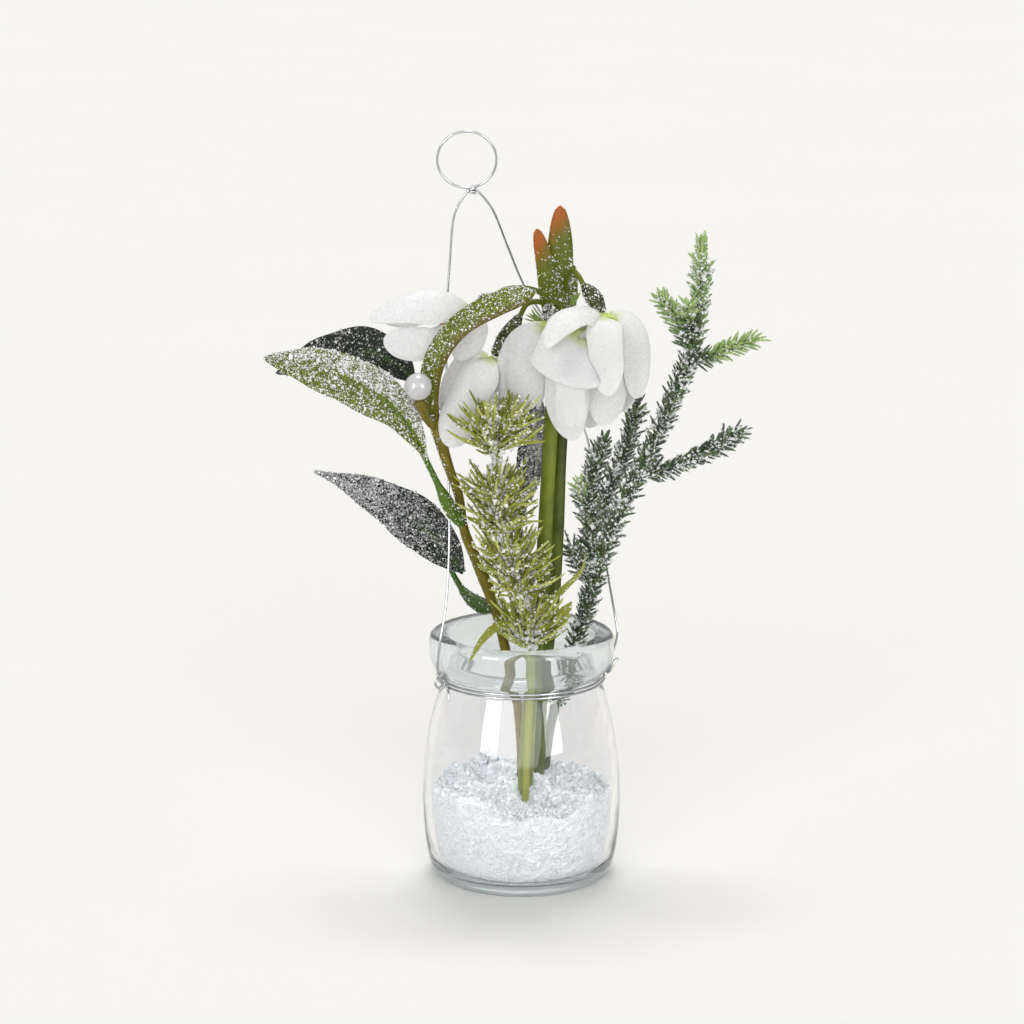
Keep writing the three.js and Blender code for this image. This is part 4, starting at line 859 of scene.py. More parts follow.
for sprig in SHEATH_SPRIGS:
    count = sprig["count"]
    ways = unit(np.array(sprig["way"]) + rng.normal(0, 0.34, (count, 3)))
    roots = np.array(sprig["root"]) + rng.normal(0, 0.4, (count, 3))
    lengths = sprig["length"] * rng.uniform(0.6, 1.05, count)
    radii = np.full(count, 0.36)
    sheath_shapes.append(
        set_needles(sprig_needle, roots, ways, lengths, radii, 0.15 * lengths, rng.random(count), 3))
sheath = make_piece("sheath_with_stalks", sheath_shapes, [sheath_green, case_green, frost, sprig_green])
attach(sheath, "root")
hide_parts("snowdrop_sheath")


# Blooms. Each has its petals cut from stiffened polyester cloth, heat pressed to a cup, dyed green at
# the claw, dusted with fine glitter and glued round a green collar, with a cone of yellow flock inside.
# The front bloom's collar has a frill of short green bristles.
BLOOMS = {
    "a": {
        "neck": (27.5, -18, 199.5), "middle": (24, -19, 181), "frilled": True,
        "petals": [
            {"spine": [(27.6, -19.2, 200.2), (26.3, -31, 200.4), (28, -32, 187.7), (28.6, -28, 174.9)],
             "width": 11.8, "face": (-0.05, -1, 0.1), "claw": 0.55, "shoulder": 0.28, "cup": 0.22,
             "plain": True},
            {"spine": [(28.8, -18, 200), (37.6, -22, 199.4), (41.4, -20, 186), (38.4, -17, 172)],
             "width": 14, "face": (0.6, -0.8, 0.1), "blunt": 0.5},
            {"spine": [(28, -17.6, 199.9), (22, -24, 204.5), (10.5, -30, 204), (8.2, -30, 191.5)],
             "width": 10.5, "face": (-0.3, -0.7, 0.7), "cup": 0.36, "shoulder": 0.3, "blunt": 0.55},
            {"spine": [(26, -18.4, 198.2), (20, -21, 195), (16.4, -30, 193.5), (12.2, -28.5, 179.4)],
             "width": 25, "face": (-0.15, -0.9, 0.4), "claw": 0.1, "shoulder": 0.62, "blunt": 0.84,
             "cup": 0.24, "end": 4, "dyed": 0.4},
            {"spine": [(26.3, -18.6, 198.2), (13, -27, 192), (12.5, -26, 172), (17.6, -21, 158.6)],
             "width": 15.5, "face": (-0.2, -1, -0.1), "claw": 0.12, "shoulder": 0.5, "blunt": 0.55},
            {"spine": [(27.4, -19.6, 198.2), (30, -23.5, 187.5), (30, -22, 173.4), (26.8, -19, 163)],
             "width": 14, "face": (0.25, -1, 0), "claw": 0.12, "shoulder": 0.5, "blunt": 0.55},
            {"spine": [(26.2, -19, 198), (15, -31, 190), (14.6, -29, 174.4), (17.2, -25, 163.6)],
             "width": 10.5, "face": (-0.1, -1, 0), "claw": 0.12, "shoulder": 0.55, "blunt": 0.78,
             "cup": 0.16, "end": 3.4, "plain": True},
            {"spine": [(26.9, -16.8, 198.6), (24, -4, 189), (22.5, -6, 174), (23, -12.5, 161)],
             "width": 16, "face": (-0.1, 1, 0)},
            {"spine": [(28.5, -16.8, 198.9), (38, -8, 190), (37, -8, 177), (33, -12.5, 166.5)],
             "width": 15.5, "face": (0.7, 0.7, 0)},
        ],
    },
    "b": {
        "neck": (7.6, -8, 195.4), "middle": (1.5, -10.5, 180), "frilled": False,
        "petals": [
            {"spine": [(6.3, -8.6, 195), (-3.2, -13.8, 194.5), (-6.4, -14.6, 178.5), (-5.4, -10, 164.6)],
             "width": 9.8, "face": (-0.35, -0.95, 0.1)},
            {"spine": [(8, -9, 194.6), (0.4, -17, 194.5), (-0.4, -18, 180.1), (1.2, -15, 167.3)],
             "width": 15, "face": (-0.25, -0.97, 0.1)},
            {"spine": [(7.2, -6.8, 194.6), (4, 0, 188), (3, -1, 178), (1, -5, 168.5)],
             "width": 9, "face": (-0.3, 1, 0)},
            {"spine": [(8.1, -8.6, 194.4), (11, -10, 184), (8.5, -11, 173), (5.5, -10.5, 167)],
             "width": 12.5, "face": (1, -0.2, 0)},
        ],
    },
    "c": {
        "neck": (-10.5, -7, 183), "middle": (-17, -7.5, 170), "frilled": False,
        "petals": [
            {"spine": [(-11, -8.2, 184), (-12.2, -18, 184), (-20.7, -19.5, 169.9), (-24.2, -17, 155.2)],
             "width": 13.6, "face": (-0.1, -1, 0.25), "claw": 0.35, "blunt": 0.72, "cup": 0.28, "end": 2.6},
            {"spine": [(-11.5, -7.6, 184), (-18.8, -10.5, 187), (-24, -12.5, 176), (-25, -11.8, 163)],
             "width": 10.5, "face": (-0.3, -0.9, 0.3), "cup": 0.2},
            {"spine": [(-9.6, -7, 183.6), (-7, -7.4, 179.5), (-7.6, -7, 170.1), (-10.8, -6.4, 160.5)],
             "width": 10.5, "face": (0.2, -1, 0.1)},
            {"spine": [(-11, -5.8, 182.6), (-16, 0.5, 178), (-19, 0, 168), (-21.5, -3.5, 160.5)],
             "width": 13.5, "face": (-0.2, 1, 0.1)},
        ],
    },
    "d": {
        "neck": (-16.5, -8.5, 200.5), "middle": (-29, -9.5, 195.5), "frilled": False,
        "petals": [
            {"spine": [(-16.3, -9, 200.2), (-22.5, -16, 205.2), (-37.2, -18, 205.3), (-51, -14, 198.2)],
             "width": 14.5, "face": (0, -0.8, 0.6), "claw": 0.12, "shoulder": 0.55, "blunt": 0.3,
             "cup": 0.34, "end": 1.5},
            {"spine": [(-16.9, -9, 199.2), (-23, -16.5, 188.5), (-35.3, -18, 189.3), (-46.3, -13, 191.4)],
             "width": 14, "face": (0, -1, 0.1), "claw": 0.05, "shoulder": 0.95, "blunt": 0.5, "cup": 0.2,
             "dyed": 0.12},
            {"spine": [(-17, -8.6, 199), (-14, -11, 195.5), (-17.4, -12.6, 188.8), (-22.8, -11.5, 185)],
             "width": 10.5, "face": (0.2, -1, 0.1)},
            {"spine": [(-17, -8.2, 199), (-22, -11, 191), (-33.5, -12, 186.4), (-44, -9, 188.2)],
             "width": 10, "face": (0, -1, -0.1), "blunt": 0.5},
            {"spine": [(-17.5, -7, 200), (-26, -2.5, 203), (-38, -2, 202), (-46, -6, 196)],
             "width": 15, "face": (0, 0.7, 0.7)},
        ],
    },
}
NECK_RADIUS = 2.2
PETAL_THICKNESS = 0.34
STAMEN_LENGTH = 9
FRILL_BRISTLES = 66
FRILL_ROUNDS = 3
SPECKS = {"glittered": 460, "plain": 90}
SPECK_SIZE = 0.24


def press_petal(rng, spine, width, face, claw=0.25, shoulder=0.38, blunt=0.6, cup=0.28, end=2.2, dyed=0,
                plain=False):
    """One petal along its spine, from a narrow claw to a round end. Its tone runs from claw to end."""
    t = np.sin(np.linspace(0, math.pi / 2, 38)) ** 1.1
    line = bezier(spine, t)
    rise = claw + (1 - claw) * np.sin(math.pi / 2 * np.minimum(t / shoulder, 1)) ** 1.1
    rounding = np.clip((t - blunt) / (1 - blunt), 0, 1)
    wave, phase = rng.uniform(0.2, 0.45), rng.uniform(0, 6)
    half = width / 2 * rise * np.sqrt(np.clip(1 - rounding ** end, 0.0004, 1))
    half = half * (1 + 0.025 * np.sin(14 * t + phase))
    reach = half[:, None] / (width / 2)
    run = t[:, None]
    return cut_blade(
        line, half, face,
        lambda u, v: (-cup * width / 2 * reach ** 2 * u ** 2
                      - 0.16 * reach * np.exp(-(u / 0.08) ** 2) * np.sin(math.pi * run)
                      + 0.07 * reach * np.sin(11 * u + 3 * run) * run
                      + wave * reach * np.abs(u) ** 4 * np.sin(9 * run + phase + 2.2 * u)),
        PETAL_THICKNESS, 20, lambda u, v: run - dyed + 0.1 * u ** 2, 1 if plain else 0,
    )


def pressed_cloth(name, glitter):
    """White cloth, green at the claw, with a fine grain of glitter or nearly none. The dust is about
    0.1 mm, too fine to show, so its grain is drawn at 0.55 mm."""
    finish, tree = new_finish(name)
    place = add_node(tree, "TexCoord")
    claw_to_tip = add_node(tree, "Attribute", {"attribute_name": "tone"})
    dye_drift = add_node(tree, "TexNoise", {"Scale": 1 / (2 * MM), "Detail": 3.0},
                         {"Vector": (place, "Object")})
    dye_edge = add_node(tree, "Math", {"operation": "MULTIPLY_ADD", 1: 0.16, 2: -0.08},
                        {0: (dye_drift, "Fac")})
    dye_reach = add_node(tree, "Math", {"operation": "ADD"},
                         {0: (claw_to_tip, "Fac"), 1: (dye_edge, "Value")})
    dye = add_node(tree, "MapRange", {
        "From Min": 0.02, "From Max": 0.24, "To Min": 1.0, "To Max": 0.0, "interpolation_type": "SMOOTHSTEP",
    }, {"Value": (dye_reach, "Value")})
    grain = add_node(tree, "TexVoronoi", {"Scale": 1 / (0.55 * MM), "Randomness": 1.0},
                     {"Vector": (place, "Object")})
    grain_value = add_node(tree, "SeparateColor", {}, {"Color": (grain, "Color")})
    white = add_node(tree, "Mix", {"data_type": "RGBA", 6: linear("f5f5f8" if glitter < 0.2 else "eeeef2"),
                                   7: linear("fdfdfe")}, {0: (grain_value, "Red")})
    tone = add_node(tree, "Mix", {"data_type": "RGBA", 7: linear("d0df8e")},
                    {0: (dye, "Result"), 6: (white, 2)})
    relief = add_node(tree, "Bump", {"Strength": glitter, "Distance": 0.12 * MM},
                      {"Height": (grain_value, "Red")})
    shine = add_node(tree, "MapRange", {"To Min": 0.75, "To Max": 0.35}, {"Value": (grain_value, "Green")})
    skin = add_node(tree, "BsdfPrincipled", {
        "IOR": 1.45, "Subsurface Weight": 0.6, "Subsurface Radius": (1.0, 1.0, 1.0),
        "Subsurface Scale": 3 * MM, "Sheen Weight": 0.1, "Specular IOR Level": 0.35,
    }, {"Base Color": (tone, 2), "Roughness": (shine, "Result"), "Normal": (relief, "Normal")})
    add_node(tree, "OutputMaterial", {}, {"Surface": (skin, "BSDF")})
    return finish


# Glittered cloth has a dry, sugary grain. The two petals of smooth cloth shine softly.
glittered_cloth = pressed_cloth("pressed_polyester_cloth_with_glitter", 0.22)
smooth_cloth = pressed_cloth("pressed_polyester_cloth_smooth", 0.1)
collar_green = moulded_green("moulded_light_green_collar", "b0c648", "dbe79a", 1.5, 0.45)

# Flock stands up in short fibres, so the yellow looks deep and has no shine. The fibres are too fine to
# show and are drawn 0.6 mm wide.
yellow_flock, tree = new_finish("dyed_yellow_flock")
flock_place = add_node(tree, "TexCoord")
flock_fibre = add_node(tree, "TexNoise", {"Scale": 1 / (0.6 * MM), "Detail": 3.0},
                       {"Vector": (flock_place, "Object")})
flock_tone = add_node(tree, "Mix", {"data_type": "RGBA", 6: linear("c78d12"), 7: linear("f2cf3c")},
                      {0: (flock_fibre, "Fac")})
flock_relief = add_node(tree, "Bump", {"Strength": 0.8, "Distance": 0.4 * MM},
                        {"Height": (flock_fibre, "Fac")})
flock_skin = add_node(tree, "BsdfPrincipled", {"Roughness": 0.9, "Sheen Weight": 0.4},
                      {"Base Color": (flock_tone, 2), "Normal": (flock_relief, "Normal")})
add_node(tree, "OutputMaterial", {}, {"Surface": (flock_skin, "BSDF")})

rng = np.random.default_rng(11)
for key, bloom in BLOOMS.items():
    neck, middle = np.array(bloom["neck"], float), np.array(bloom["middle"], float)
    axis = unit(middle - neck)
    petals = [press_petal(rng, **petal) for petal in bloom["petals"]]
    specks = [frost_on(petal, SPECKS["plain" if petal.finish else "glittered"], SPECK_SIZE, rng, 3)
              for petal in petals]
    collar = draw_rod(neck + axis * np.linspace(-1.2, 1.2, 12)[:, None], [1, 1.6, 1.8, 1.6, 1], 20, finish=2)
    frills = []
    bristles = FRILL_BRISTLES if bloom["frilled"] else 0
    for turn in np.linspace(0, 2 * FRILL_ROUNDS * math.pi, bristles, endpoint=False):
        side = unit(np.cross(axis, (0.3, 1, 0.1)))
        out = side * math.cos(turn) + np.cross(axis, side) * math.sin(turn)
        root = neck + out * 1.4 - axis * rng.uniform(0.2, 1.6)
        end = neck + out * rng.uniform(2.6, 5) + axis * rng.uniform(-1.2, 2.2)
        frills.append(draw_rod(np.linspace(root, end, 4), [0.3, 0.38, 0.26], 6, finish=2))
    whorl = make_piece(f"petals_{key}", petals + specks + [collar] + frills,
                       [glittered_cloth, smooth_cloth, collar_green, frost])
    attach(whorl, "root")
    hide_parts(f"bloom_{key}_petals")
    foot = neck + axis * (NECK_RADIUS + 0.3)
    core_line = foot + axis * np.linspace(0, STAMEN_LENGTH, 20)[:, None]
    core = draw_rod(core_line, [0.6, 0.6, 1.7, 1.9, 0.6], 14)
    anthers = frost_on(core, 160, 0.75, rng, 0)
    cone = make_piece(f"stamens_{key}", [core, anthers], [yellow_flock])
    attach(cone, "root")
    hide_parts(f"bloom_{key}_stamens")


# Mistletoe. A wire stem wrapped in olive-brown paper tape, which forks at its top into a thick curled
# leaf and two short arms with a lacquered pearl berry each.
MISTLETOE_STEM = [(0, 5.5, 12), (-0.2, 5, 46), (-2, 3, 64), (-5.4, -1, 80), (-9, -4, 96), (-15, -6, 112.5),
                  (-19.5, -8, 124.5), (-21.5, -9.5, 137.5), (-24.5, -11, 146.5), (-27, -12, 155),
                  (-29.2, -12.5, 163)]
MISTLETOE_RADII = [1.6, 1.6, 1.7, 1.8, 1.7, 2.1, 1.6, 1.6, 2.3]
PEARL_ARMS = [
    ([(-29, -12.4, 161.5), (-30.8, -16.3, 163.2), (-32.6, -20, 166.8), (-34.2, -22, 171.6)],
     [1.5, 1.2, 1.2, 1.9]),
    ([(-28.6, -12, 160.5), (-31.2, -10.8, 162.6), (-33, -9.4, 165)], [1.4, 1.2, 1.6]),
]
PEARLS = {"front": (-34.6, -22.6, 177), "back": (-34, -8.5, 167.2)}
PEARL_RADIUS = 4.6
CURLED_LEAF = [(-29.2, -12.5, 163), (-30.5, -15.5, 172), (-30.3, -18.5, 181), (-26.5, -20.5, 190.5),
               (-19.5, -21.5, 198.5), (-7.5, -21, 205), (4.6, -19, 208.6)]
CURLED_WIDTHS = [1.6, 2.6, 3.9, 4.3, 4.3, 4.4, 4.6, 4.2, 2.2]
CURLED_DEPTH = 1.5

# Waxed paper tape in a steep spiral: dull olive brown, with a darker line at each overlap, about 5 mm
# apart.
paper_tape, tree = new_finish("waxed_paper_stem_tape")
tape_place = add_node(tree, "TexCoord")
tape_lap = add_node(tree, "TexWave", {
    "bands_direction": "DIAGONAL", "Scale": 1 / (7.5 * MM), "Distortion": 2.5, "Detail": 2.0,
}, {"Vector": (tape_place, "Object")})
tape_drift = add_node(tree, "TexNoise", {"Scale": 1 / (6 * MM), "Detail": 4.0},
                      {"Vector": (tape_place, "Object")})
tape_body = add_node(tree, "Mix", {"data_type": "RGBA", 6: linear("685a0c"), 7: linear("8a7f22")},
                     {0: (tape_drift, "Fac")})
tape_tone = add_node(tree, "Mix", {"data_type": "RGBA", "blend_type": "MULTIPLY", 0: 0.25},
                     {6: (tape_body, 2), 7: (tape_lap, "Color")})
tape_relief = add_node(tree, "Bump", {"Strength": 0.3, "Distance": 0.3 * MM}, {"Height": (tape_lap, "Fac")})
tape_skin = add_node(tree, "BsdfPrincipled", {"Roughness": 0.5, "IOR": 1.45, "Specular IOR Level": 0.3},
                     {"Base Color": (tape_tone, 2), "Normal": (tape_relief, "Normal")})
add_node(tree, "OutputMaterial", {}, {"Surface": (tape_skin, "BSDF")})


def high_and_left(places, normals):
    """Frost lies on the left side of the stem, more of it higher up."""
    return np.clip((places[:, 2] - 95) / 60, 0, 1) * np.clip(0.3 - normals[:, 0], 0, 1)


rng = np.random.default_rng(13)
branch = draw_rod(smooth_line(MISTLETOE_STEM, 110), MISTLETOE_RADII, 18)
arms = [draw_rod(smooth_line(line, 30), radii, 14) for line, radii in PEARL_ARMS]
branch_chips = frost_on(branch, 260, 0.4, rng, 1, high_and_left)
mistletoe = make_piece("mistletoe_branch", [branch, *arms, branch_chips], [paper_tape, frost])
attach(mistletoe, "root")
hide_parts("mistletoe_stem")

# A glass or acrylic bead under many thin coats of pearl lacquer: white and faintly cloudy, with a deep
# soft shine.
pearl_lacquer, tree = new_finish("pearl_lacquer_on_bead")
pearl_place = add_node(tree, "TexCoord")
pearl_cloud = add_node(tree, "TexNoise", {"Scale": 1 / (4 * MM), "Detail": 3.0},
                       {"Vector": (pearl_place, "Object")})
pearl_tone = add_node(tree, "Mix", {"data_type": "RGBA", 6: linear("bebdc1"), 7: linear("d6d5d6")},
                      {0: (pearl_cloud, "Fac")})
pearl_skin = add_node(tree, "BsdfPrincipled", {
    "Roughness": 0.3, "IOR": 1.5, "Coat Weight": 0.7, "Coat Roughness": 0.08, "Subsurface Weight": 0.15,
    "Subsurface Radius": (1.0, 1.0, 1.0), "Subsurface Scale": 1 * MM,
}, {"Base Color": (pearl_tone, 2)})
add_node(tree, "OutputMaterial", {}, {"Surface": (pearl_skin, "BSDF")})
for key, centre in PEARLS.items():
    arc = np.linspace(-math.pi / 2, math.pi / 2, 36)
    bead_profile = np.stack([np.maximum(PEARL_RADIUS * np.cos(arc), 0.01), PEARL_RADIUS * np.sin(arc)], -1)
    bead_net, bead_faces = turn_on_lathe(bead_profile, 56)
    pearl = make_piece(f"pearl_{key}", [shape_of(bead_net + np.array(centre), bead_faces)], [pearl_lacquer])
    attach(pearl, "root")
    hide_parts(f"pearl_berry_{key}")


def curled_leaf():
    """The thick leaf over the blooms: flat above, rounded below, its edges rolled under."""
    rows, around = 70, 26
    line = smooth_line(CURLED_LEAF, rows)
    t = np.linspace(0, 1, rows)
    widths = np.interp(t, np.linspace(0, 1, len(CURLED_WIDTHS)), CURLED_WIDTHS)
    widths = widths * np.sqrt(np.clip(1 - np.clip((t - 0.9) / 0.1, 0, 1) ** 2.2, 0.0004, 1))
    along = unit(np.gradient(line, axis=0))
    face = np.broadcast_to((-0.35, -0.9, 0.55), line.shape)
    face = unit(face - along * (face * along).sum(1, keepdims=True))
    side = np.cross(along, face)
    angle = np.linspace(0, 2 * math.pi, around, endpoint=False)
    swelling = np.sign(np.sin(angle)) * np.abs(np.sin(angle)) ** 0.8
    crown = np.where(np.sin(angle) > 0, 0.85, 1.1) * CURLED_DEPTH * swelling
    depth = np.minimum(1, widths / 2.6)[:, None] * crown
    net = (line[:, None] - side[:, None] * (widths[:, None] * np.cos(angle))[..., None]
           + face[:, None] * depth[..., None])
    lower_edge = np.clip((-np.cos(angle) - 0.55) / 0.3, 0, 1)
    under = np.maximum(lower_edge, np.sin(angle) < -0.2)[None] + np.clip(1 - t * 6, 0, 1)[:, None]
    return shape_of(net, net_faces(rows, around), np.clip(under, 0, 1) + 0 * t[:, None])


def leaf_green(name, dark, light, rib):
    """Green leaf film, darker in its 1.2 mm pits, with a tone that turns it to the colour of its rib."""
    finish, tree = new_finish(name)
    place = add_node(tree, "TexCoord")
    pits = add_node(tree, "TexNoise", {"Scale": 1 / (1.2 * MM), "Detail": 3.0},
                    {"Vector": (place, "Object")})
    spread = add_node(tree, "MapRange", {"From Min": 0.38, "From Max": 0.62}, {"Value": (pits, "Fac")})
    body = add_node(tree, "Mix", {"data_type": "RGBA", 6: linear(dark), 7: linear(light)},
                    {0: (spread, "Result")})
    vein = add_node(tree, "Attribute", {"attribute_name": "tone"})
    tone = add_node(tree, "Mix", {"data_type": "RGBA", 7: linear(rib)}, {0: (vein, "Fac"), 6: (body, 2)})
    relief = add_node(tree, "Bump", {"Strength": 0.4, "Distance": 0.3 * MM}, {"Height": (pits, "Fac")})
    skin = add_node(tree, "BsdfPrincipled", {"Roughness": 0.5, "IOR": 1.5, "Specular IOR Level": 0.22},
                    {"Base Color": (tone, 2), "Normal": (relief, "Normal")})
    add_node(tree, "OutputMaterial", {}, {"Surface": (skin, "BSDF")})
    return finish


def on_front(places, normals):
    """Frost lies on the front and the top of the curled leaf, twice as thick near its end."""
    facing = 0.1 - normals[:, 1] * 0.5 - normals[:, 0] * 0.5 + normals[:, 2] * 0.7
    return np.clip(facing, 0.02, 1) * (1 + (places[:, 0] > -4))


# Green film over a moulded core, its back and its root olive brown, the front thick with frost.
curled_green = leaf_green("green_film_curled_leaf", "4e5908", "748017", "62580e")
curled = curled_leaf()
curled_chips = frost_on(curled, 1250, 0.38, rng, 1, on_front)
top_leaf = make_piece("curled_leaf", [curled, curled_chips], [curled_green, frost])
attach(top_leaf, "root")
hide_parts("mistletoe_curled_leaf")


# Frosted leaves. Four long leaves of green film over cloth with a wire rib, each on its own stalk at
# the mistletoe stem. The upper one is white with frost, the other three grey with glitter.
LEAVES = {
    "upper": {
        "stalk": [(-20.5, -8.6, 127), (-25, -13, 135), (-30.5, -14, 146.5), (-33.5, -14.5, 153)],
        "stalk_radii": [1.7, 2.7, 2.2, 1.1, 1, 1],
        "line": [(-32.4, -14.4, 150.5), (-36, -15, 158.5), (-43, -16.5, 168.5), (-56, -18, 177.2),
                 (-70.5, -20, 183), (-86, -22, 186.4)],
        "width": 16.6, "widest": 0.52, "swell": 1.0, "taper": 0.7, "facing": (0.15, -1, 0.35),
        "chips": 6900, "size": 0.4,
    },
    "dark": {
        "stalk": [(-27.6, -12, 157), (-28.3, -8.5, 161), (-29.5, -4, 167), (-32, -1.8, 172),
                  (-38, -1.6, 176.5)],
        "stalk_radii": [1, 1, 0.9],
        "line": [(-36, -2.6, 174.8), (-43, 0, 181), (-53, 2, 184.5), (-68, 3, 182.5), (-83.5, 2, 177)],
        "width": 16.5, "widest": 0.42, "swell": 0.8, "taper": 0.85, "facing": (0.1, -1, 0.2),
        "chips": 2100, "size": 0.42,
    },
    "lower": {
        "stalk": [(-9.4, -4, 96.5), (-14, -1, 96.5), (-19, 2, 99.5), (-23, 4.6, 105), (-25.6, 6, 110.5)],
        "stalk_radii": [2, 2.9, 2.2, 1.1, 0.9, 0.9],
        "line": [(-20, 5.4, 106.5), (-26, 7, 113.5), (-35, 8.6, 122.5), (-46, 10, 130), (-59, 11, 136.5),
                 (-71.5, 11, 141)],
        "width": 17, "widest": 0.34, "swell": 0.8, "taper": 1.15, "facing": (-0.1, -1, 0.4),
        "chips": 9600, "size": 0.41,
    },
    "back": {
        "stalk": [(-9.6, -4.2, 97.5), (-6, -3, 108), (-2, -1, 120), (1, 1, 131)],
        "stalk_radii": [1, 0.9, 0.9],
        "line": [(0.4, 0.8, 129), (2.4, 2.2, 141), (4, 3.6, 156), (6, 5, 171)],
        "width": 9.4, "widest": 0.5, "swell": 0.8, "taper": 0.8, "facing": (0, -1, 0.1),
        "chips": 5900, "size": 0.56,
    },
}
LEAF_THICKNESS = 0.6
STALK_CHIPS = 250


def leaf_blade(line, width, widest, swell, taper, facing):
    """A leaf with a sunk rib and edges that wave a little. Its tone is high along the rib near the stalk."""
    t = np.linspace(0, 1, 60)
    outline = (np.sin(math.pi / 2 * np.minimum(t / widest, 1)) ** swell
               * np.cos(math.pi / 2 * np.clip((t - widest) / (1 - widest), 0, 1)) ** taper)
    half = np.maximum(width / 2 * outline * (1 + 0.04 * np.sin(19 * t)), 0.12)
    half[:8] = np.maximum(half[:8], 0.9)

    def rib_groove(u, t):
        rib = 0.35 * np.exp(-(u / 0.12) ** 2) * (1 - t)
        return 0.17 * width / 2 * np.abs(u) + 0.5 * np.sin(13 * t) * u - rib

    def rib_tone(u, t):
        rib_width = 0.1 + 0.5 * np.clip(0.12 - t, 0, 1) * 8
        return np.exp(-(u / rib_width) ** 2) * np.clip((0.5 - t) / 0.2, 0, 1)

    return cut_blade(smooth_line(line, len(t)), half, facing, rib_groove, LEAF_THICKNESS, 22, rib_tone)


# White frost nearly hides the green of the upper leaf and leaves its rib bare.
upper_green = leaf_green("green_film_upper_leaf", "4c550c", "76811c", "4c6c18")
# The dark leaves are black-green film. Their glitter is grey and silver, so they look like wet slate.
slate_green = leaf_green("black_green_film_leaf", "0e150a", "1d2b1c", "3c5a14")
glitter, tree = new_finish("silver_polyester_glitter")
glitter_shift = add_node(tree, "Attribute", {"attribute_name": "tone"})
glitter_tone = add_node(tree, "ValToRGB", {}, {"Fac": (glitter_shift, "Fac")})
glitter_tone.color_ramp.elements[0].color = linear("747579")
glitter_tone.color_ramp.elements[1].color = linear("ffffff")
glitter_tone.color_ramp.elements.new(0.5).color = linear("b4b5b9")
glitter_skin = add_node(tree, "BsdfPrincipled", {"Roughness": 0.3, "IOR": 1.5, "Metallic": 0.2},
                        {"Base Color": (glitter_tone, "Color")})
add_node(tree, "OutputMaterial", {}, {"Surface": (glitter_skin, "BSDF")})

rng = np.random.default_rng(17)
for key, leaf in LEAVES.items():
    plate = leaf_blade(*(leaf[part] for part in ("line", "width", "widest", "swell", "taper", "facing")))
    stalk = draw_rod(smooth_line(leaf["stalk"], 26), leaf["stalk_radii"], 14, tone=[0.7, 1.0])
    rib_line = smooth_line(leaf["line"], 60)
    front = unit(np.array(leaf["facing"], float))

    def away_from_rib(places, normals):
        gap = np.linalg.norm(places[:, None] - rib_line[None, :36], axis=2).min(1)
        rib_height = np.interp(-places[:, 0], -rib_line[:, 0], rib_line[:, 2])
        upper_half = np.clip(0.62 + (places[:, 2] - rib_height) / 5, 0.5, 1.3)
        return (0.35 + 0.65 * (normals @ front > 0)) * np.clip((gap - 0.6) / 1.4, 0.03, 1) * upper_half

    def towards_end(places, normals):
        along = (places[:, 0] - leaf["line"][0][0]) / (leaf["line"][-1][0] - leaf["line"][0][0])
        return (0.35 + 0.65 * (normals @ front > 0)) * (0.2 + 1.8 * np.clip(along, 0, 1) ** 1.5)

    where = away_from_rib if key == "upper" else towards_end
    chips = frost_on(plate, leaf["chips"], leaf["size"], rng, 1, where)
    stalk_chips = frost_on(stalk, STALK_CHIPS, leaf["size"], rng, 1)
    film, chip_finish = (upper_green, frost) if key == "upper" else (slate_green, glitter)
    made = make_piece(f"leaf_{key}", [plate, stalk, chips, stalk_chips], [film, chip_finish])
    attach(made, "root")
    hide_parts(f"frosted_leaf_{key}")


# Soft needle sprig. Yellow-green polyethylene moulded in dense tufts on one thin stem, with curved
# bristles that stand up and outwards, two curly straps and a bract at the foot, and specks of frost.
SOFT_STEM = [(1, -4.6, 18), (1.9, -5.8, 45), (2.8, -9, 66), (3.2, -13, 82), (2.6, -15.5, 92),
             (-0.5, -18, 106), (-4, -18.5, 116.5), (-6.5, -19.5, 126), (-8, -20, 136), (-8.5, -21, 147),
             (-8.6, -21, 163)]
TUFTS = [
    {"centre": (3, -14.8, 90), "count": 200, "length": 17.5, "low": 1.5, "spread": 5},
    {"centre": (-3.5, -18.4, 114.6), "count": 220, "length": 15.5, "low": 1.8, "spread": 10},
    {"centre": (-8, -20, 137), "count": 220, "length": 15, "low": 1.8, "spread": 10},
    {"centre": (-8.6, -21, 160.5), "count": 200, "length": 16.5, "low": 1.75, "spread": 6},
]
STRAPS = [
    {"width": 3.4,
     "line": [(4, -15, 89), (-2, -19, 93.5), (-8, -24, 95), (-13.5, -28.5, 91), (-18, -32, 84)]},
    {"width": 2.4,
     "line": [(5, -13.5, 90), (9, -12, 99), (15, -9.5, 105), (20.5, -6, 110), (22, -4, 116)]},
    {"width": 6, "line": [(5, -14.5, 88.6), (10, -15.5, 92), (14, -15, 97), (17, -14, 101)]},
]
STRAP_THICKNESS = 0.5
STRAP_TONE = 0.35
CHIPS_ON_TUFT = 3800
CHIPS_ON_STRAP = 140
CHIPS_ON_SOFT_STEM = 1700
LOWEST_FROST = 80
GOLDEN_ANGLE = math.pi * (3 - math.sqrt(5))


def strap_blade(line, width):
    """A thin curly strap or bract."""
    t = np.linspace(0, 1, 30)
    half = width / 2 * np.maximum(np.sin(math.pi * (0.2 + 0.77 * t)), 0.08)
    return cut_blade(
        smooth_line(line, len(t)), half, (0.2, -0.6, 0.8),
        lambda u, t: 0.2 * width / 2 * np.abs(u) * (1 - t), STRAP_THICKNESS, 10, lambda u, t: STRAP_TONE,
    )


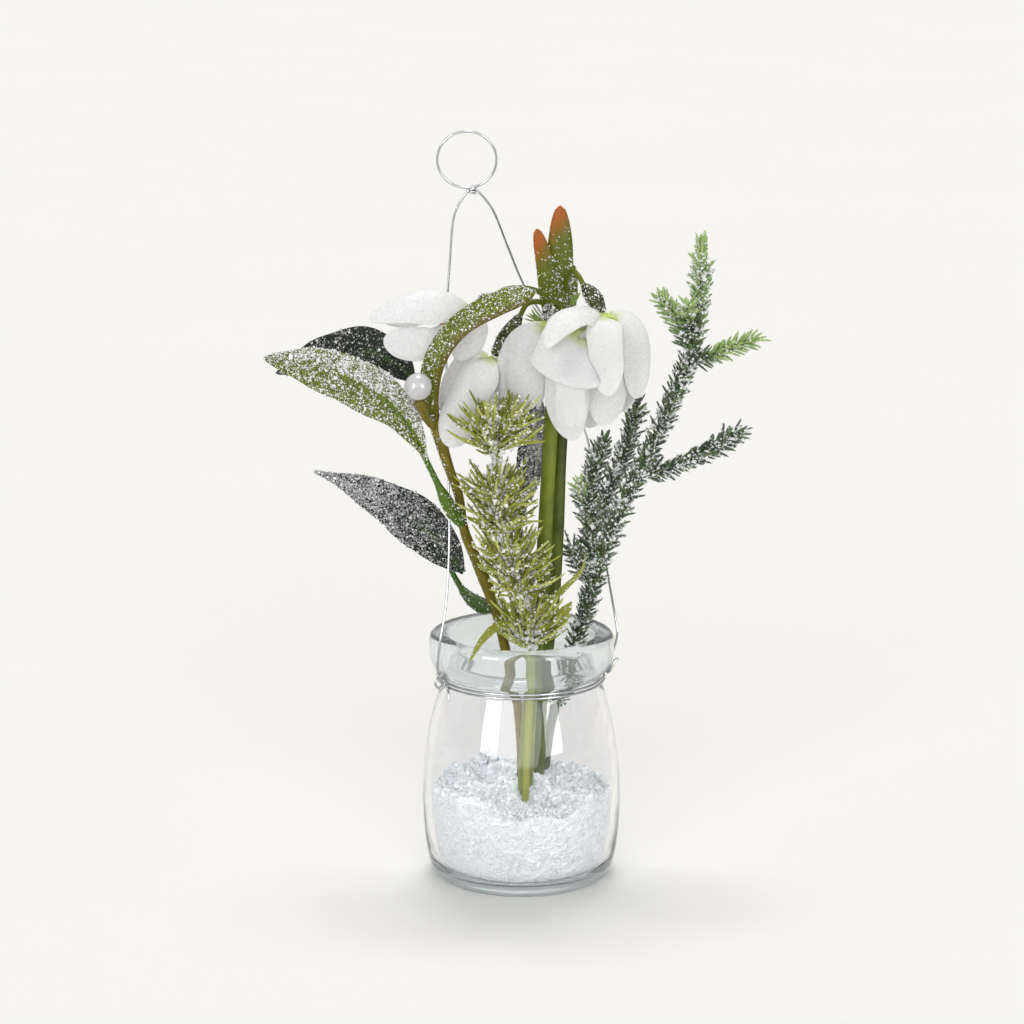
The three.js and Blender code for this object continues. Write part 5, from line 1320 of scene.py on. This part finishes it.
# Soft yellow-green polyethylene: older needles are darker, and young ones catch the light. Their skin is
# uneven every 2 mm, which breaks up the shine.
soft_green, tree = new_finish("soft_polyethylene_needles")
soft_place = add_node(tree, "TexCoord")
soft_shift = add_node(tree, "Attribute", {"attribute_name": "tone"})
soft_ramp = add_node(tree, "ValToRGB", {}, {"Fac": (soft_shift, "Fac")})
soft_ramp.color_ramp.elements[0].color = linear("68701a")
soft_ramp.color_ramp.elements[1].color = linear("c8cc70")
soft_ramp.color_ramp.elements.new(0.5).color = linear("9ea43a")
soft_drift = add_node(tree, "TexNoise", {"Scale": 1 / (2 * MM), "Detail": 2.0},
                      {"Vector": (soft_place, "Object")})
soft_relief = add_node(tree, "Bump", {"Strength": 0.2, "Distance": 0.2 * MM},
                       {"Height": (soft_drift, "Fac")})
soft_skin = add_node(tree, "BsdfPrincipled", {"Roughness": 0.5, "IOR": 1.5, "Specular IOR Level": 0.3},
                     {"Base Color": (soft_ramp, "Color"), "Normal": (soft_relief, "Normal")})
add_node(tree, "OutputMaterial", {}, {"Surface": (soft_skin, "BSDF")})


def above_jar(places, normals):
    """The soft stem has no frost inside the jar."""
    return places[:, 2] > LOWEST_FROST


rng = np.random.default_rng(19)
stem_line = smooth_line(SOFT_STEM, 80)
soft_stem = draw_rod(stem_line, [1.2, 1.2, 1.3, 1.3, 1.2, 1.1], 12, tone=0.3)
soft_shapes = [soft_stem]
bristle = bristle_form([(0, 0.8), (0.3, 1), (0.65, 1), (0.92, 0.85), (1, 0.3)], 5)
for tuft in TUFTS:
    count = tuft["count"]
    polar = 0.12 + (tuft["low"] - 0.12) * np.sqrt((np.arange(count) + 0.5) / count)
    azimuth = np.arange(count) * GOLDEN_ANGLE + rng.uniform(-0.25, 0.25, count)
    ways = np.stack([np.sin(polar) * np.cos(azimuth), np.sin(polar) * np.sin(azimuth), np.cos(polar)], -1)
    ways = unit(ways + rng.normal(0, 0.08, ways.shape))
    drops = rng.uniform(-1, 0.45, count) * tuft["spread"]
    drops = np.where(polar < 0.9, 0.3 * drops, drops)
    heights = tuft["centre"][2] + drops
    on_stem = [np.interp(heights, stem_line[:, 2], stem_line[:, k]) for k in (0, 1)]
    stem_top = np.stack([*on_stem, heights], -1)
    lengths = tuft["length"] * rng.uniform(0.55, 1.05, count)
    radii = rng.uniform(0.4, 0.56, count)
    bends = lengths * (0.04 + 0.42 * np.sin(polar) ** 2) * rng.uniform(0.5, 1.25, count)
    needles = set_needles(bristle, stem_top, ways, lengths, radii, bends, rng.random(count))

    def near_core(places, normals):
        reach = np.linalg.norm(places - np.array(tuft["centre"]), axis=1)
        return 0.7 + 0.9 * np.exp(-(reach / 7) ** 2)

    soft_shapes += [needles, frost_on(needles, CHIPS_ON_TUFT, 0.72, rng, 1, near_core, sunk=0.1)]
for strap in STRAPS:
    blade = strap_blade(strap["line"], strap["width"])
    soft_shapes += [blade, frost_on(blade, CHIPS_ON_STRAP, 0.4, rng, 1)]
soft_shapes.append(frost_on(soft_stem, CHIPS_ON_SOFT_STEM, 0.9, rng, 1, above_jar, sunk=0))
soft = make_piece("soft_sprig", soft_shapes, [soft_green, frost])
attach(soft, "root")
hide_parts("soft_needle_sprig")


# Fir twig. Dark green polyethylene moulded as short flat needles round a wired main shoot and its
# eight side shoots, with lighter tips where the growth is young, and heavy white frost on the old wood.
FIR_STEM = [(7, 13, 12), (8, 13, 30), (10.5, 12.5, 50), (15, 12, 66), (18.6, 11.5, 79), (24, 10, 97.5),
            (28, 9, 112), (35.5, 8, 131.5), (44, 7, 149.5), (51.5, 6, 167), (57.5, 5, 183), (60.5, 4, 202),
            (60.5, 3, 220)]
FIR_SHOOTS = [
    {"line": FIR_STEM, "from": 0.2, "radii": [1.7, 1.7, 1.6, 1.5, 1.4, 1.2, 0.7], "young": 0.82},
    {"line": [(56.8, 5, 180.5), (67, 3.6, 184), (78, 2, 188.6)],
     "from": 0.05, "radii": [1, 0.9, 0.6], "young": 0.2},
    {"line": [(57.6, 5, 184), (53, 8, 194), (48, 10, 201)],
     "from": 0.05, "radii": [1, 0.9, 0.6], "young": 0.2},
    {"line": [(59.6, 4.5, 190), (57, 0.5, 195), (55.8, -1.5, 200.5)],
     "from": 0.1, "radii": [1, 0.9, 0.6], "young": 0.4},
    {"line": [(39.5, 7.5, 140), (55, 4, 145.5), (73.5, 1, 156)],
     "from": 0.05, "radii": [1.1, 1, 0.6], "young": 2},
    {"line": [(25, 9.8, 101), (24, 12, 116), (22.4, 14.4, 127), (20.5, 15.5, 134.5)],
     "from": 0.05, "radii": [1.2, 1.1, 0.6], "young": 0.75},
    {"line": [(24, 12, 116), (31.5, 16, 136), (37, 18, 150), (39.6, 18.4, 162)],
     "from": 0.05, "radii": [1.1, 1, 0.6], "young": 2},
    {"line": [(23, 13.6, 124), (24.5, 18, 138), (28, 21, 148)],
     "from": 0.05, "radii": [1.1, 1, 0.6], "young": 2},
    {"line": [(24.6, 10, 100), (20.5, 11.4, 108), (17.4, 12.6, 113.6)],
     "from": 0.1, "radii": [1, 0.9, 0.6], "young": 2},
]
FIR_NEEDLE_LENGTH = 6.4
FIR_NEEDLES_PER_MM = 3
FIR_LEAN = {"side": 1.0, "end": 2.6}
FIR_CHIPS_PER_NEEDLE = {"old": 14, "young": 5}

# Dark grey-green polyethylene, uneven every 2 mm as well. Its tone turns it to the fresh green of young
# needles.
fir_green, tree = new_finish("dark_polyethylene_fir_needles")
fir_place = add_node(tree, "TexCoord")
fir_shift = add_node(tree, "Attribute", {"attribute_name": "tone"})
fir_ramp = add_node(tree, "ValToRGB", {}, {"Fac": (fir_shift, "Fac")})
fir_ramp.color_ramp.elements[0].color = linear("2f3b2b")
fir_ramp.color_ramp.elements[1].color = linear("b0c983")
fir_ramp.color_ramp.elements.new(0.3).color = linear("586b4b")
fir_ramp.color_ramp.elements.new(0.6).color = linear("86a664")
fir_drift = add_node(tree, "TexNoise", {"Scale": 1 / (2 * MM), "Detail": 2.0},
                     {"Vector": (fir_place, "Object")})
fir_relief = add_node(tree, "Bump", {"Strength": 0.2, "Distance": 0.2 * MM}, {"Height": (fir_drift, "Fac")})
fir_skin = add_node(tree, "BsdfPrincipled", {"Roughness": 0.45, "IOR": 1.5, "Specular IOR Level": 0.3},
                    {"Base Color": (fir_ramp, "Color"), "Normal": (fir_relief, "Normal")})
add_node(tree, "OutputMaterial", {}, {"Surface": (fir_skin, "BSDF")})

rng = np.random.default_rng(23)
fir_needle = bristle_form([(0, 0.6), (0.3, 0.95), (0.65, 1.0), (0.88, 0.75), (1, 0.1)], 4, 0.5)
fir_shapes = []
for shoot in FIR_SHOOTS:
    line = smooth_line(shoot["line"], 60)
    wood = draw_rod(line, shoot["radii"], 10, tone=0.15)
    run = np.linalg.norm(np.diff(line, axis=0), axis=1).sum()
    count = int(run * (1 - shoot["from"]) * FIR_NEEDLES_PER_MM)
    t = np.linspace(shoot["from"], 1, count)
    place = t * (len(line) - 1)
    roots = np.stack([np.interp(place, np.arange(len(line)), line[:, k]) for k in range(3)], -1)
    along, side, face = directions_along(line)
    along, side, face = (np.stack([np.interp(place, np.arange(len(line)), way[:, k]) for k in range(3)], -1)
                         for way in (along, side, face))
    angle = np.arange(count) * GOLDEN_ANGLE + rng.uniform(-0.3, 0.3, count)
    outward = side * np.cos(angle)[:, None] + face * np.sin(angle)[:, None]
    lean = np.where(t > 0.97, FIR_LEAN["end"], FIR_LEAN["side"]) + rng.uniform(-0.2, 0.5, count)
    ways = unit(outward + along * lean[:, None])
    lengths = FIR_NEEDLE_LENGTH * rng.uniform(0.75, 1.15, count)
    radii = rng.uniform(0.7, 0.9, count)
    fresh = np.clip((t - shoot["young"]) / 0.15, 0, 1) * 0.6
    tone = np.clip(rng.uniform(0.1, 0.42, count) + fresh, 0, 1)
    needles = set_needles(fir_needle, roots, ways, lengths, radii, -0.06 * lengths, tone)
    fir_shapes += [wood, needles]

    def near_wood(places, normals):
        gap = np.linalg.norm(places[:, None] - line[None, ::3], axis=2).min(1)
        return 0.45 + np.exp(-(gap / 4) ** 2)

    chips_each = FIR_CHIPS_PER_NEEDLE["old" if shoot["young"] >= 0.5 else "young"]
    fir_shapes.append(frost_on(needles, count * chips_each, 0.68, rng, 1, near_wood, sunk=0, patch=6))
fir = make_piece("fir_branch", fir_shapes, [fir_green, frost])
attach(fir, "root")
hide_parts("fir_twig")
